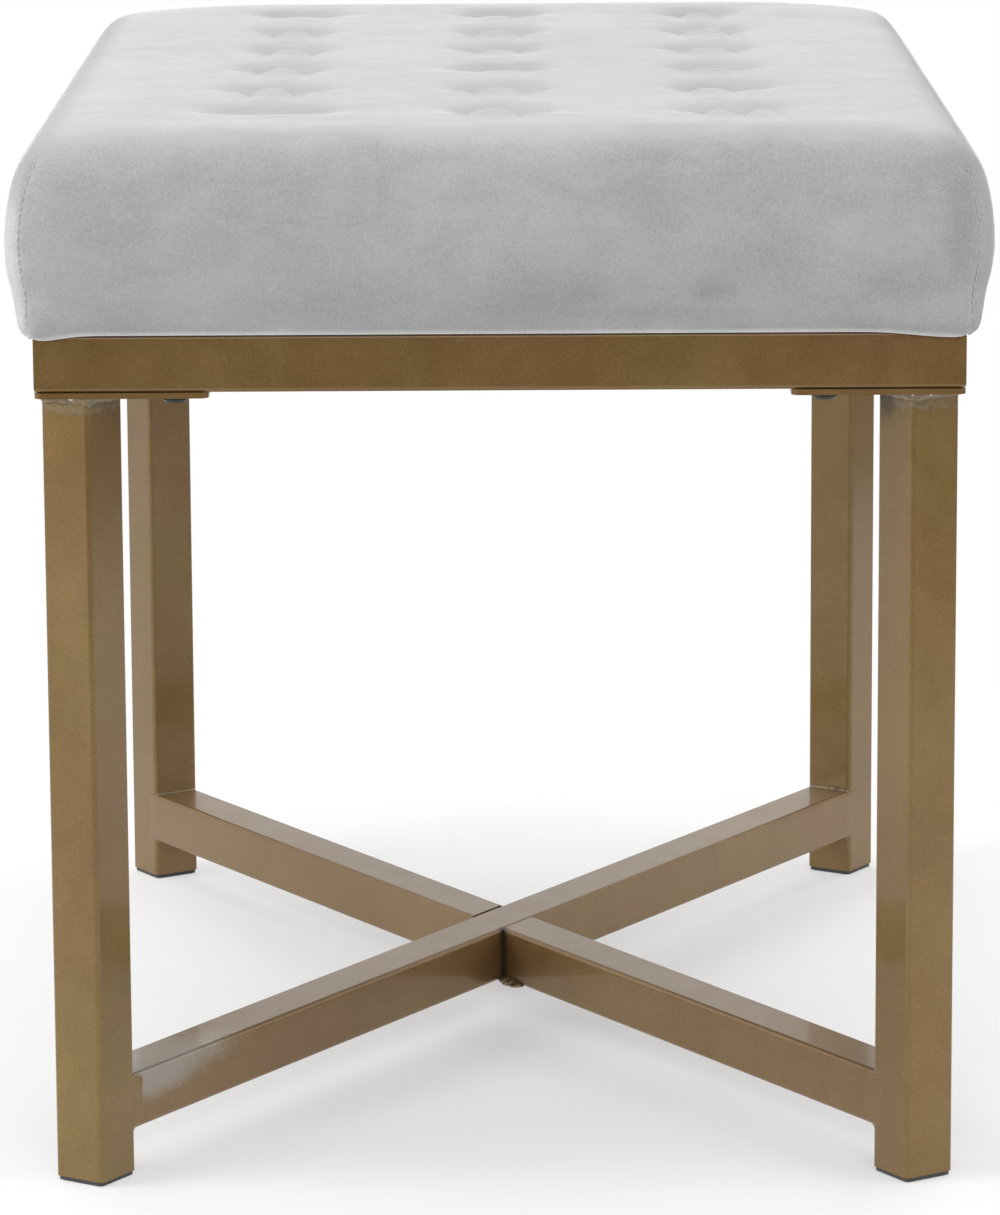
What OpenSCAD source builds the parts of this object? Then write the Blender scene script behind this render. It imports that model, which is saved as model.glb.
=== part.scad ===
// Tufted ottoman bench: a velvet cushion on a square-tube base with crossed stretchers.
// Millimetres, +Z up. X runs along the short side and Y along the long side.
// The origin is on the floor, below the centre of the bench. The front is at -Y.

/* [Base frame] */
// Outer width of the apron frame, along the short side
frame_w = 400; // [360:2:440]
// Outer length of the apron frame, along the long side
frame_l = 604; // [560:2:680]
// Height of the apron's top face above the floor
frame_h = 380.4; // [300:0.1:460]
// Side of the square steel tube
tube_side = 25.4; // [25:0.1:26]
// Wall thickness of the steel tube
tube_wall = 1.5; // [1.2:0.1:2]
// Radius of the tube's outer corners
tube_radius = 2.2; // [2.1:0.1:3]

/* [Legs and stretchers] */
// Distance from the apron's outer faces to the centre of each leg
leg_inset = 19; // [18:0.5:24]
// Height of the stretchers' underside above the floor
stretcher_rise = 20.8; // [16:0.1:80]
// Open joint left where the rear half stretcher meets the through stretcher
joint_gap = 0.4; // [0.2:0.1:0.8]
// Radius of the weld beads
weld_radius = 2.4; // [1.5:0.1:3]
// Part of the plastic foot cap that shows below the leg
foot_show = 2.2; // [1.5:0.1:5]

/* [Leg plates and bolts] */
// Side of the square plate on top of each leg
plate_side = 75; // [70:1:90]
// Thickness of the plate
plate_thick = 2.5; // [2:0.5:5]
// Distance from the frame's corner to each bolt, along the apron
bolt_reach = 60; // [54:1:60]
// Nominal diameter of the plate bolts
bolt_d = 6; // [5:1:6]
// Diameter of the bolt's button head
bolt_head_d = 11.6; // [10:0.1:12]
// Height of the bolt's button head
bolt_head_h = 3.3; // [2.5:0.1:3.5]

/* [Cushion] */
// Height of the cushion's crown above the apron
cushion_h = 85.6; // [80:0.2:106]
// How far the cushion's sides swell past the apron
cushion_swell = 13.6; // [11:0.2:18]
// Radius of the cushion's upright corners
cushion_corner = 25; // [20:1:30]
// Height of the crown above the cushion's shoulder
crown_rise = 8; // [6:0.5:12]
// Thickness of the plywood seat board
board_thick = 15; // [12:1:18]
// Thickness of the velvet where it is turned under the board
cloth_thick = 1.5; // [1:0.1:2]
// Width of the velvet turned under the board, from the board's edge
turn_under = 43; // [40:1:44]

/* [Tufts] */
// Number of tufts across the short side
tuft_columns = 3; // [1:1:3]
// Number of tufts along the long side
tuft_rows = 6; // [2:1:6]
// Distance between tufts across the short side
tuft_pitch_x = 101; // [84:1:104]
// Distance between tufts along the long side
tuft_pitch_y = 86; // [78:1:87]
// Depth of each tuft
tuft_depth = 8; // [4:0.5:9]
// Distance over which a tuft's dimple fades out
tuft_reach = 17; // [13:1:20]

/* [Seat fixings] */
// Length of each seat tab along the apron
tab_length = 36; // [30:1:44]
// How far each seat tab stands in from the apron
tab_reach = 34; // [32:1:40]
// Distance of the long side's seat tabs from the middle of the bench
tab_offset = 150; // [120:5:180]
// Spacing of the upholstery staples
staple_pitch = 42; // [38:1:60]

/* [Hidden] */

$fn = 48;
eps = 0.01;
far = 1000;
cut = 1;

steel_colour = [0.50, 0.41, 0.26];
weld_colour = [0.55, 0.47, 0.34];
bolt_colour = [0.20, 0.22, 0.21];
zinc_colour = [0.62, 0.64, 0.66];
cap_colour = [0.22, 0.23, 0.24];
velvet_colour = [0.80, 0.80, 0.81];
foam_colour = [0.93, 0.90, 0.78];
board_colour = [0.76, 0.62, 0.44];
dust_colour = [0.13, 0.13, 0.14];
cord_colour = [0.88, 0.87, 0.83];

// Base frame
half_w = frame_w / 2;
half_l = frame_l / 2;
tube_half = tube_side / 2;
tube_bore = tube_side - 2 * tube_wall;
tube_bore_radius = tube_radius - tube_wall;
apron_z = frame_h - tube_side;
plate_z = apron_z - plate_thick;

// Legs and stretchers: the legs are turned to face along the diagonals
leg_x = half_w - leg_inset;
leg_y = half_l - leg_inset;
diagonal_angle = atan2(leg_y, leg_x);
leg_distance = norm([leg_x, leg_y]);
stretcher_end = leg_distance - tube_half;
stretcher_mid_z = stretcher_rise + tube_half;
cap_clearance = 0.1;
cap_setback = 0.6;
cap_chamfer = 0.9;
cap_plug_h = 12;
cap_wall = 2;
cap_floor = 3;
weld_edge = 0.5;
crossing_bead_radius = 4;
crossing_bead_drop = 2.6;

// Leg plates and bolts
plate_corner = 4;
bolt_head_rim = 1.4;
bolt_clearance = 0.3;
bolt_length = 16;
thread_clearance = 0.05;
socket_across_flats = 4;
socket_depth = 2;
nut_across_flats = 10;
nut_h = 5;
hex_ratio = 2 / sqrt(3);

// Seat board, foam and velvet
board_z = frame_h + cloth_thick;
board_top = board_z + board_thick;
board_setback = 4;
board_half_x = half_w - board_setback;
board_half_y = half_l - board_setback;
board_corner = 20;
foam_half_x = half_w;
foam_half_y = half_l;
foam_corner = 26;
crown_z = frame_h + cushion_h;
wadding_thick = 7;
foam_top = crown_z - tuft_depth - wadding_thick;
opening_half_x = board_half_x - turn_under;
opening_half_y = board_half_y - turn_under;
opening_corner = 6;

// Cushion form, from the shoulder down: [outset past the frame, height, corner radius]
shoulder_outset = 2.5;
shoulder_z = crown_z - crown_rise;
cushion_sections = [
    [shoulder_outset, shoulder_z, cushion_corner],
    [cushion_swell - 3.4, shoulder_z - 14, cushion_corner],
    [cushion_swell, frame_h + 36.6, cushion_corner],
    [cushion_swell - 5.4, frame_h + 8.6, cushion_corner - 7],
    [0.8, frame_h, cushion_corner - 16]
];
shoulder_x = half_w + shoulder_outset;
shoulder_y = half_l + shoulder_outset;
edge_steps = [0, 12, 36];
tuft_steps = [-28, -14, 0, 14, 28];
crown_power = 6;
crown_softness = 0.4;

// Dust cover, staples, tabs, screws and tuft cords
dust_thick = 0.5;
dust_z = frame_h - dust_thick;
dust_gap = 4.6;
dust_half_x = half_w - tube_side - dust_gap;
dust_half_y = half_l - tube_side - dust_gap;
dust_corner = 8;
staple_wire = 0.6;
staple_crown = 11;
staple_leg = 9;
staple_gap = 1;
cover_staple_inset = 35;
dust_staple_inset = 48;
tab_thick = 3;
tab_z = dust_z - tab_thick;
tab_corner = 4;
screw_inset = 24;
screw_d = 4;
screw_length = 16;
screw_tip = 4;
screw_head_d = 8;
screw_head_h = 2.4;
screw_head_bevel = 1;
screw_slot = 1;
screw_point_d = 0.4;
cord_d = 2;
cord_hole = 2.4;
board_hole = 5;
washer_d = 18;
washer_thick = 1;
knot_d = 5;
knot_h = 0.4;

// Corners as [x side, y side], in the order of the nodes' names
front_left = [-1, -1];
front_right = [1, -1];
rear_left = [-1, 1];
rear_right = [1, 1];
corners = [front_left, front_right, rear_left, rear_right];

// A rectangle with round corners, drawn about its centre
module rounded_rectangle(width, depth, radius) {
    square([width - 2 * radius, depth], center = true);
    square([width, depth - 2 * radius], center = true);
    for (sx = [-1, 1], sy = [-1, 1]) {
        translate([sx * (width / 2 - radius), sy * (depth / 2 - radius)])
            circle(r = radius);
    }
}

// A flat slab with round corners, its underside at height z
module slab(half_x, half_y, radius, z, height) {
    translate([0, 0, z])
        linear_extrude(height)
            rounded_rectangle(2 * half_x, 2 * half_y, radius);
}

// The section of the square tube
module tube_section() {
    difference() {
        rounded_rectangle(tube_side, tube_side, tube_radius);
        rounded_rectangle(tube_bore, tube_bore, tube_bore_radius);
    }
}

// A tube lying along +X from x0 to x1, centred on the X axis
module lying_tube(x0, x1) {
    translate([x0, 0, 0])
        rotate([90, 0, 90])
            linear_extrude(x1 - x0)
                tube_section();
}

// Moves its children to a corner's leg, turned to face along the diagonal
module at_leg(corner) {
    translate([corner.x * leg_x, corner.y * leg_y, 0])
        rotate([0, 0, atan2(corner.y * leg_y, corner.x * leg_x)])
            children();
}

// The two bolt places of a corner: one on the short apron, one on the long apron
function bolt_places(corner) = [
    [corner.x * (half_w - bolt_reach), corner.y * (half_l - tube_half)],
    [corner.x * (half_w - tube_half), corner.y * (half_l - bolt_reach)]
];

module at_bolts(corner) {
    for (place = bolt_places(corner)) {
        translate([place.x, place.y, 0])
            children();
    }
}

// Apron: four mitred tubes, with clearance holes for the plate bolts
module apron_side(length, across) {
    end = length / 2;
    mitre = [[-end, 0], [end, 0], [end - tube_side, tube_side], [tube_side - end, tube_side]];
    translate([0, -across / 2, 0])
        intersection() {
            translate([0, tube_half, apron_z + tube_half])
                lying_tube(-end, end);
            linear_extrude(far)
                polygon(mitre);
        }
}

module apron_tube(length, across, turn) {
    color(steel_colour)
        difference() {
            rotate([0, 0, turn])
                apron_side(length, across);
            for (corner = corners) {
                at_bolts(corner)
                    translate([0, 0, apron_z - cut])
                        cylinder(d = bolt_d + 2 * bolt_clearance, h = tube_wall + 2 * cut);
            }
        }
}

module apron_front() { apron_tube(frame_w, frame_l, 0); }
module apron_right() { apron_tube(frame_l, frame_w, 90); }
module apron_rear() { apron_tube(frame_w, frame_l, 180); }
module apron_left() { apron_tube(frame_l, frame_w, 270); }

// Leg plates: each carries one leg and takes two bolts
module plate_body(corner) {
    translate([corner.x * (half_w - plate_side / 2), corner.y * (half_l - plate_side / 2), plate_z])
        linear_extrude(plate_thick)
            rounded_rectangle(plate_side, plate_side, plate_corner);
}

module leg_plate(corner) {
    color(steel_colour)
        difference() {
            plate_body(corner);
            at_bolts(corner)
                translate([0, 0, plate_z - cut])
                    cylinder(d = bolt_d + 2 * bolt_clearance, h = plate_thick + 2 * cut);
        }
}

// Legs: open square tubes from the foot cap up to the plate
module leg(corner) {
    color(steel_colour)
        at_leg(corner)
            translate([0, 0, foot_show])
                linear_extrude(plate_z - foot_show)
                    tube_section();
}

// Foot caps: a flange under the tube, and a hollow ribbed plug inside it
module foot_cap(corner) {
    flange = tube_side - 2 * cap_setback;
    plug = tube_bore - 2 * cap_clearance;
    rib_h = 1.5;
    rib_depth = 0.6;
    color(cap_colour)
        at_leg(corner)
            difference() {
                union() {
                    linear_extrude(cap_chamfer)
                        rounded_rectangle(flange - 2 * cap_chamfer, flange - 2 * cap_chamfer, tube_radius);
                    translate([0, 0, cap_chamfer / 2])
                        linear_extrude(foot_show - cap_chamfer / 2)
                            rounded_rectangle(flange, flange, tube_radius);
                    translate([0, 0, foot_show - eps])
                        linear_extrude(cap_plug_h)
                            rounded_rectangle(plug - 2 * rib_depth, plug - 2 * rib_depth, tube_bore_radius);
                    for (rib = [1, 2, 3]) {
                        translate([0, 0, foot_show + rib * cap_plug_h / 4])
                            linear_extrude(rib_h)
                                rounded_rectangle(plug, plug, tube_bore_radius);
                    }
                }
                translate([0, 0, cap_floor])
                    linear_extrude(far)
                        rounded_rectangle(plug - 2 * rib_depth - 2 * cap_wall,
                            plug - 2 * rib_depth - 2 * cap_wall, tube_bore_radius);
            }
}

// Stretchers: one tube runs through, and two halves butt against its sides
module stretcher_through() {
    color(steel_colour)
        translate([0, 0, stretcher_mid_z])
            rotate([0, 0, diagonal_angle])
                lying_tube(-stretcher_end, stretcher_end);
}

module stretcher_half(corner, gap) {
    color(steel_colour)
        translate([0, 0, stretcher_mid_z])
            difference() {
                rotate([0, 0, atan2(corner.y * leg_y, corner.x * leg_x)])
                    lying_tube(0, stretcher_end);
                rotate([0, 0, diagonal_angle])
                    cube([far, tube_side + 2 * gap, tube_side + 2 * cut], center = true);
            }
}

// Quarter-round bead along +Y, in the corner between a face at x = 0 and a face at z = 0
module corner_bead(length, radius) {
    rotate([90, 0, 0])
        translate([0, 0, -length / 2])
            linear_extrude(length)
                intersection() {
                    circle(r = radius);
                    square(radius);
                }
}

// Weld that runs round the top of each leg, under its plate
module leg_plate_weld(corner) {
    weld_side = tube_side + 2 * weld_radius;
    intersection() {
        at_leg(corner)
            difference() {
                translate([0, 0, plate_z - weld_radius])
                    linear_extrude(weld_radius)
                        rounded_rectangle(weld_side, weld_side, tube_radius + weld_radius);
                translate([0, 0, plate_z - weld_radius - cut])
                    linear_extrude(weld_radius + 2 * cut)
                        rounded_rectangle(tube_side, tube_side, tube_radius);
                for (turn = [0, 90, 180, 270]) {
                    rotate([0, 0, turn])
                        translate([tube_half + weld_radius, -tube_side, plate_z - weld_radius])
                            rotate([-90, 0, 0])
                                cylinder(r = weld_radius - weld_edge, h = 2 * tube_side);
                }
            }
        translate([corner.x * (half_w - plate_side / 2), corner.y * (half_l - plate_side / 2), 0])
            linear_extrude(far)
                rounded_rectangle(plate_side, plate_side, plate_corner);
    }
}

module leg_plate_welds() {
    color(weld_colour)
        for (corner = corners) {
            leg_plate_weld(corner);
        }
}

// Flush weld in the two grooves beside a stretcher's end, where the leg's corners round away
module side_fills() {
    linear_extrude(tube_side - 2 * tube_radius, center = true)
        difference() {
            translate([0, -tube_half])
                square([tube_radius - weld_edge, tube_side]);
            translate([tube_half, 0])
                rounded_rectangle(tube_side, tube_side, tube_radius);
        }
}

// Welds round each stretcher's end, where it meets its leg
module stretcher_welds() {
    bead_length = tube_side - 2 * tube_radius;
    color(weld_colour)
        for (corner = corners) {
            rotate([0, 0, atan2(corner.y * leg_y, corner.x * leg_x)])
                translate([stretcher_end, 0, stretcher_mid_z]) {
                    side_fills();
                    translate([0, 0, tube_half])
                        mirror([1, 0, 0])
                            corner_bead(bead_length, weld_radius);
                    translate([0, 0, -tube_half])
                        mirror([0, 0, 1])
                            mirror([1, 0, 0])
                                corner_bead(bead_length, weld_radius);
                }
        }
}

// Welds on the underside of the crossing, along the ends of the two half stretchers
module crossing_welds() {
    bead_length = tube_side - tube_radius;
    joint_shift = tube_half / tan(2 * (90 - diagonal_angle));
    color(weld_colour)
        rotate([0, 0, diagonal_angle])
            for (side = [-1, 1]) {
                translate([side * joint_shift, side * tube_half, stretcher_rise])
                    intersection() {
                        translate([-bead_length / 2, 0, crossing_bead_radius - crossing_bead_drop])
                            rotate([0, 90, 0])
                                cylinder(r = crossing_bead_radius, h = bead_length);
                        translate([-far / 2, -far / 2, -far])
                            cube([far, far, far]);
                    }
            }
}

// Button-head bolts, put in from below, and the nuts welded inside the apron tubes
module plate_bolt() {
    dome_radius = (pow(bolt_head_d / 2, 2) + pow(bolt_head_h, 2)) / (2 * bolt_head_h);
    difference() {
        union() {
            translate([0, 0, plate_z - eps])
                cylinder(d = bolt_d - 2 * thread_clearance, h = bolt_length);
            intersection() {
                translate([0, 0, plate_z - bolt_head_h])
                    cylinder(d = bolt_head_d, h = bolt_head_h);
                translate([0, 0, plate_z - bolt_head_h + dome_radius - bolt_head_rim / 2])
                    sphere(r = dome_radius + bolt_head_rim / 2);
            }
        }
        translate([0, 0, plate_z - bolt_head_h - cut])
            cylinder(d = socket_across_flats * hex_ratio, h = socket_depth + cut, $fn = 6);
    }
}

module plate_bolts() {
    color(bolt_colour)
        for (corner = corners) {
            at_bolts(corner)
                plate_bolt();
        }
}

module weld_nuts() {
    color(zinc_colour)
        for (corner = corners) {
            at_bolts(corner)
                translate([0, 0, apron_z + tube_wall])
                    difference() {
                        cylinder(d = nut_across_flats * hex_ratio, h = nut_h, $fn = 6);
                        translate([0, 0, -cut])
                            cylinder(d = bolt_d, h = nut_h + 2 * cut);
                    }
        }
}

// Seat tabs: small plates inside the apron that take the wood screws
tab_places = [
    for (sx = [-1, 1], sy = [-1, 1]) [sx * (half_w - tube_side), sy * tab_offset, sx > 0 ? 180 : 0],
    for (sy = [-1, 1]) [0, sy * (half_l - tube_side), sy > 0 ? -90 : 90]
];

module at_tabs() {
    for (place = tab_places) {
        translate([place[0], place[1], 0])
            rotate([0, 0, place[2]])
                children();
    }
}

module seat_tab() {
    translate([0, 0, tab_z])
        linear_extrude(tab_thick)
            difference() {
                union() {
                    translate([0, -tab_length / 2])
                        square([tab_reach - tab_corner, tab_length]);
                    translate([0, tab_corner - tab_length / 2])
                        square([tab_reach, tab_length - 2 * tab_corner]);
                    for (sy = [-1, 1]) {
                        translate([tab_reach - tab_corner, sy * (tab_length / 2 - tab_corner)])
                            circle(r = tab_corner);
                    }
                }
                translate([screw_inset, 0])
                    circle(d = screw_d + 2 * bolt_clearance);
            }
}

module seat_tabs() {
    color(steel_colour)
        at_tabs()
            seat_tab();
}

module seat_screw() {
    translate([screw_inset, 0, tab_z]) {
        difference() {
            translate([0, 0, -screw_head_h])
                cylinder(d1 = screw_head_d - 2 * screw_head_bevel, d2 = screw_head_d, h = screw_head_h);
            for (turn = [0, 90]) {
                rotate([0, 0, turn])
                    translate([0, 0, -screw_head_h])
                        cube([screw_head_d / 2, screw_slot, 2 * screw_slot], center = true);
            }
        }
        translate([0, 0, -eps])
            cylinder(d = screw_d, h = screw_length - screw_tip + eps);
        translate([0, 0, screw_length - screw_tip])
            cylinder(d1 = screw_d, d2 = screw_point_d, h = screw_tip);
    }
}

module seat_screws() {
    color(zinc_colour)
        at_tabs()
            seat_screw();
}

// Tuft places, counted from the middle of the seat
function spread(count, pitch) = [for (i = [0 : count - 1]) (i - (count - 1) / 2) * pitch];
tuft_xs = spread(tuft_columns, tuft_pitch_x);
tuft_ys = spread(tuft_rows, tuft_pitch_y);
tufts = [for (y = tuft_ys, x = tuft_xs) [x, y]];

module at_tufts() {
    for (tuft = tufts) {
        translate([tuft.x, tuft.y, 0])
            children();
    }
}

// Staple places round the underside: [x, y, turn]
function staple_run(half) = [for (s = [-half : 2 * half / round(2 * half / staple_pitch) : half + eps]) s];
function staple_ring(half_x, half_y) = concat(
    [for (sx = [-1, 1], y = staple_run(half_y - staple_crown)) [sx * half_x, y, 90]],
    [for (sy = [-1, 1], x = staple_run(half_x - staple_crown)) [x, sy * half_y, 0]]
);
function clear_of_tabs(place) = min([for (tab = tab_places)
    let (along = tab[2] % 180 == 0 ? abs(place.y - tab.y) : abs(place.x - tab.x),
        away = tab[2] % 180 == 0 ? abs(place.x - tab.x) : abs(place.y - tab.y))
    max(along - tab_length / 2, away - tab_reach)]) > staple_crown / 2 + staple_gap;
cover_staple_places = staple_ring(board_half_x - cover_staple_inset, board_half_y - cover_staple_inset);
dust_staple_places = [
    for (place = staple_ring(board_half_x - dust_staple_inset, board_half_y - dust_staple_inset))
        if (clear_of_tabs(place)) place
];

// One staple, its crown's underside at height z
module staple(place, z) {
    translate([place[0], place[1], z])
        rotate([0, 0, place[2]]) {
            translate([-staple_crown / 2, -staple_wire / 2, 0])
                cube([staple_crown, staple_wire, staple_wire]);
            for (side = [-1, 1]) {
                translate([side * (staple_crown - staple_wire) / 2, 0, staple_leg / 2])
                    cube([staple_wire, staple_wire, staple_leg], center = true);
            }
        }
}

module staple_row(places, z) {
    for (place = places) {
        staple(place, z);
    }
}

module cover_staples() {
    color(zinc_colour)
        staple_row(cover_staple_places, frame_h);
}

module dust_cover_staples() {
    color(zinc_colour)
        staple_row(dust_staple_places, dust_z - staple_wire);
}

// Seat board, drilled for the tuft cords, with the screws and staples driven into it
module seat_board() {
    color(board_colour)
        difference() {
            slab(board_half_x, board_half_y, board_corner, board_z, board_thick);
            at_tufts()
                translate([0, 0, board_z - cut])
                    cylinder(d = board_hole, h = board_thick + 2 * cut);
            at_tabs()
                seat_screw();
            staple_row(cover_staple_places, frame_h);
            staple_row(dust_staple_places, dust_z - staple_wire);
        }
}

// Foam pad, pierced by the tuft cords
module foam_body() {
    slab(foam_half_x, foam_half_y, foam_corner, board_top, foam_top - board_top);
}

module foam_pad() {
    color(foam_colour)
        difference() {
            foam_body();
            at_tufts()
                translate([0, 0, board_top - cut])
                    cylinder(d = cord_hole, h = foam_top - board_top + 2 * cut);
        }
}

// Tuft cords: each holds a tuft down from below and is knotted under a washer
module tuft_cords() {
    washer_z = board_z - washer_thick;
    color(cord_colour)
        at_tufts() {
            translate([0, 0, washer_z - knot_h])
                cylinder(d = knot_d, h = knot_h);
            translate([0, 0, washer_z - eps])
                cylinder(d = cord_d, h = foam_top - washer_z + eps);
        }
}

module tuft_washers() {
    color(zinc_colour)
        at_tufts()
            translate([0, 0, board_z - washer_thick])
                difference() {
                    cylinder(d = washer_d, h = washer_thick);
                    translate([0, 0, -cut])
                        cylinder(d = cord_hole, h = washer_thick + 2 * cut);
                }
}

// Dust cover, with holes for the screws and staples that pass through it
module dust_cover() {
    color(dust_colour)
        difference() {
            slab(dust_half_x, dust_half_y, dust_corner, dust_z, dust_thick);
            at_tabs()
                translate([screw_inset, 0, dust_z - cut])
                    cylinder(d = screw_d + 2 * thread_clearance, h = dust_thick + 2 * cut);
            staple_row(dust_staple_places, dust_z - staple_wire);
        }
}

// Cushion form: a grid over the tufted top, and rings of the same points down the sides
function edge_lines(half) = [for (step = edge_steps) half - step];
function grid_lines(centres, half) = concat(
    [for (line = edge_lines(half)) -line],
    [for (centre = centres, step = tuft_steps) centre + step],
    [for (i = [len(edge_steps) - 1 : -1 : 0]) half - edge_steps[i]]
);
grid_xs = grid_lines(tuft_xs, shoulder_x);
grid_ys = grid_lines(tuft_ys, shoulder_y);
nx = len(grid_xs);
ny = len(grid_ys);

// Draws a point of a rectangle in towards a round corner of the given radius
function round_corner(x, y, half_x, half_y, radius) =
    let (dx = abs(x) - (half_x - radius), dy = abs(y) - (half_y - radius))
    dx <= 0 || dy <= 0
        ? [x, y]
        : let (pull = max(dx, dy) / norm([dx, dy]))
            [sign(x) * (half_x - radius + dx * pull), sign(y) * (half_y - radius + dy * pull)];

// Height of the top at a point: the crown less the nearest tufts
function crown_factor(t) = pow(max(0, 1 - pow(abs(t), crown_power)), crown_softness);
function tuft_dip(x, y) = max([for (tuft = tufts) exp(-pow(norm([x - tuft.x, y - tuft.y]) / tuft_reach, 2))]);
function top_height(x, y) = shoulder_z
    + crown_rise * crown_factor(x / shoulder_x) * crown_factor(y / shoulder_y)
    - tuft_depth * tuft_dip(x, y);

top_points = [
    for (y = grid_ys, x = grid_xs)
        let (p = round_corner(x, y, shoulder_x, shoulder_y, cushion_corner))
        [p.x, p.y, top_height(x, y)]
];

// The grid's border as [column, row], counter-clockwise from above
border = concat(
    [for (i = [0 : nx - 2]) [i, 0]],
    [for (j = [0 : ny - 2]) [nx - 1, j]],
    [for (i = [nx - 1 : -1 : 1]) [i, ny - 1]],
    [for (j = [ny - 1 : -1 : 1]) [0, j]]
);
border_count = len(border);

function ring_points(section) =
    let (half_x = half_w + section[0], half_y = half_l + section[0])
    [
        for (cell = border)
            let (x = grid_xs[cell[0]] * half_x / shoulder_x, y = grid_ys[cell[1]] * half_y / shoulder_y,
                p = round_corner(x, y, half_x, half_y, section[2]))
            [p.x, p.y, section[1]]
    ];

// Index of a point: the top's own border stands for ring 0
function ring_index(ring, i) =
    let (k = i % border_count)
    ring == 0
        ? border[k][1] * nx + border[k][0]
        : nx * ny + (ring - 1) * border_count + k;

module cushion_form() {
    last = len(cushion_sections) - 1;
    points = concat(top_points, [for (ring = [1 : last]) each ring_points(cushion_sections[ring])]);
    top_faces = [
        for (j = [0 : ny - 2], i = [0 : nx - 2])
            let (a = j * nx + i, b = a + nx, c = b + 1, d = a + 1)
            each [[a, b, c], [a, c, d]]
    ];
    side_faces = [
        for (ring = [0 : last - 1], i = [0 : border_count - 1])
            let (a = ring_index(ring, i), b = ring_index(ring, i + 1),
                c = ring_index(ring + 1, i + 1), d = ring_index(ring + 1, i))
            each [[a, b, c], [a, c, d]]
    ];
    base_face = [for (i = [0 : border_count - 1]) ring_index(last, i)];
    polyhedron(points, concat(top_faces, side_faces, [base_face]), convexity = 6);
}

// Velvet cover with its wadding: hollow for the foam and board, and turned under the board
module velvet_cover() {
    color(velvet_colour)
        difference() {
            cushion_form();
            foam_body();
            slab(board_half_x, board_half_y, board_corner, board_z, board_thick + eps);
            slab(opening_half_x, opening_half_y, opening_corner, frame_h - cut, cloth_thick + cut + eps);
            staple_row(cover_staple_places, frame_h);
        }
}

apron_front();
apron_rear();
apron_left();
apron_right();
leg_plate(front_left);  // leg_plate_front_left
leg_plate(front_right);  // leg_plate_front_right
leg_plate(rear_left);  // leg_plate_rear_left
leg_plate(rear_right);  // leg_plate_rear_right
leg(front_left);  // leg_front_left
leg(front_right);  // leg_front_right
leg(rear_left);  // leg_rear_left
leg(rear_right);  // leg_rear_right
foot_cap(front_left);  // foot_cap_front_left
foot_cap(front_right);  // foot_cap_front_right
foot_cap(rear_left);  // foot_cap_rear_left
foot_cap(rear_right);  // foot_cap_rear_right
stretcher_through();
stretcher_half(rear_left, joint_gap);  // stretcher_half_rear_left
stretcher_half(front_right, 0);  // stretcher_half_front_right
leg_plate_welds();
stretcher_welds();
crossing_welds();
plate_bolts();
weld_nuts();
seat_tabs();
seat_screws();
seat_board();
foam_pad();
velvet_cover();
dust_cover();
cover_staples();
dust_cover_staples();
tuft_cords();
tuft_washers();
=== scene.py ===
"""Velvet ottoman bench: cushion, steel base finish, weld beads, seat parts and studio stage."""

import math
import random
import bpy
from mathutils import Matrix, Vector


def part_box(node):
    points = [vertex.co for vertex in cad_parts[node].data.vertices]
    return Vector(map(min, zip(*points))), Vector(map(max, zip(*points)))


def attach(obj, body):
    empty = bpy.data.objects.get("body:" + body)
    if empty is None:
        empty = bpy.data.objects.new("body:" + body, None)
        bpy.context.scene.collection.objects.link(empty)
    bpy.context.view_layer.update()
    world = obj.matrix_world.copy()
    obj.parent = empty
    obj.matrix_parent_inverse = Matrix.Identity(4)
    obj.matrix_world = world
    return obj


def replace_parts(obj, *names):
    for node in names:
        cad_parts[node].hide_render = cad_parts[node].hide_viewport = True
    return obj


bl_info = {
    "name": "Velvet Ottoman Bench",
    "version": (1, 0, 0),
    "blender": (4, 5, 0),
    "location": "3D View > Sidebar > Bench",
    "description": "Makes the cushion, finishes and studio stage of a tufted bench on a steel base",
    "category": "Object",
}

import bmesh
import bpy
import numpy as np
from bpy.props import FloatProperty, FloatVectorProperty, IntProperty, PointerProperty
from mathutils import Matrix, Vector, noise

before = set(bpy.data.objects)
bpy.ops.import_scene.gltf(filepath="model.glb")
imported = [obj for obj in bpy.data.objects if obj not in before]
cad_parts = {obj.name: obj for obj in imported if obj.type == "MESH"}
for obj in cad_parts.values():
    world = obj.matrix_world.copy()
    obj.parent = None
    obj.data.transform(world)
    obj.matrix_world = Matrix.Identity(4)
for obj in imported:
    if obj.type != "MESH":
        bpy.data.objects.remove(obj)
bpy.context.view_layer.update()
MM = 0.001

# Places that come from the frame
CORNERS = {"front_left": (-1, -1), "front_right": (1, -1), "rear_left": (-1, 1), "rear_right": (1, 1)}
APRON_LOW, APRON_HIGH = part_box("apron_front")
_, SIDE_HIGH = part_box("apron_right")
_, COVER_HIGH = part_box("velvet_cover")
BOARD_LOW, BOARD_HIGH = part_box("seat_board")
FOAM_LOW, FOAM_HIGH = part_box("foam_pad")
_, DUST_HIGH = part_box("dust_cover")
HALF_W = APRON_HIGH.x
HALF_L = SIDE_HIGH.y
APRON_TOP = APRON_HIGH.z
TUBE = APRON_HIGH.z - APRON_LOW.z
CROWN_Z = COVER_HIGH.z
# Corner radii of the tubes, the board, the foam and the dust cover
TUBE_CORNER = 2.2 * MM
BOARD_CORNER = 20 * MM
FOAM_CORNER = 26 * MM
DUST_CORNER = 8 * MM


# Small helpers

def look_settings():
    """The bench's settings on the scene."""
    return bpy.context.scene.bench


def coordinates(mesh):
    """All points of a mesh as rows of x, y, z."""
    flat = np.empty(len(mesh.vertices) * 3)
    mesh.vertices.foreach_get("co", flat)
    return flat.reshape(-1, 3)


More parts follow.
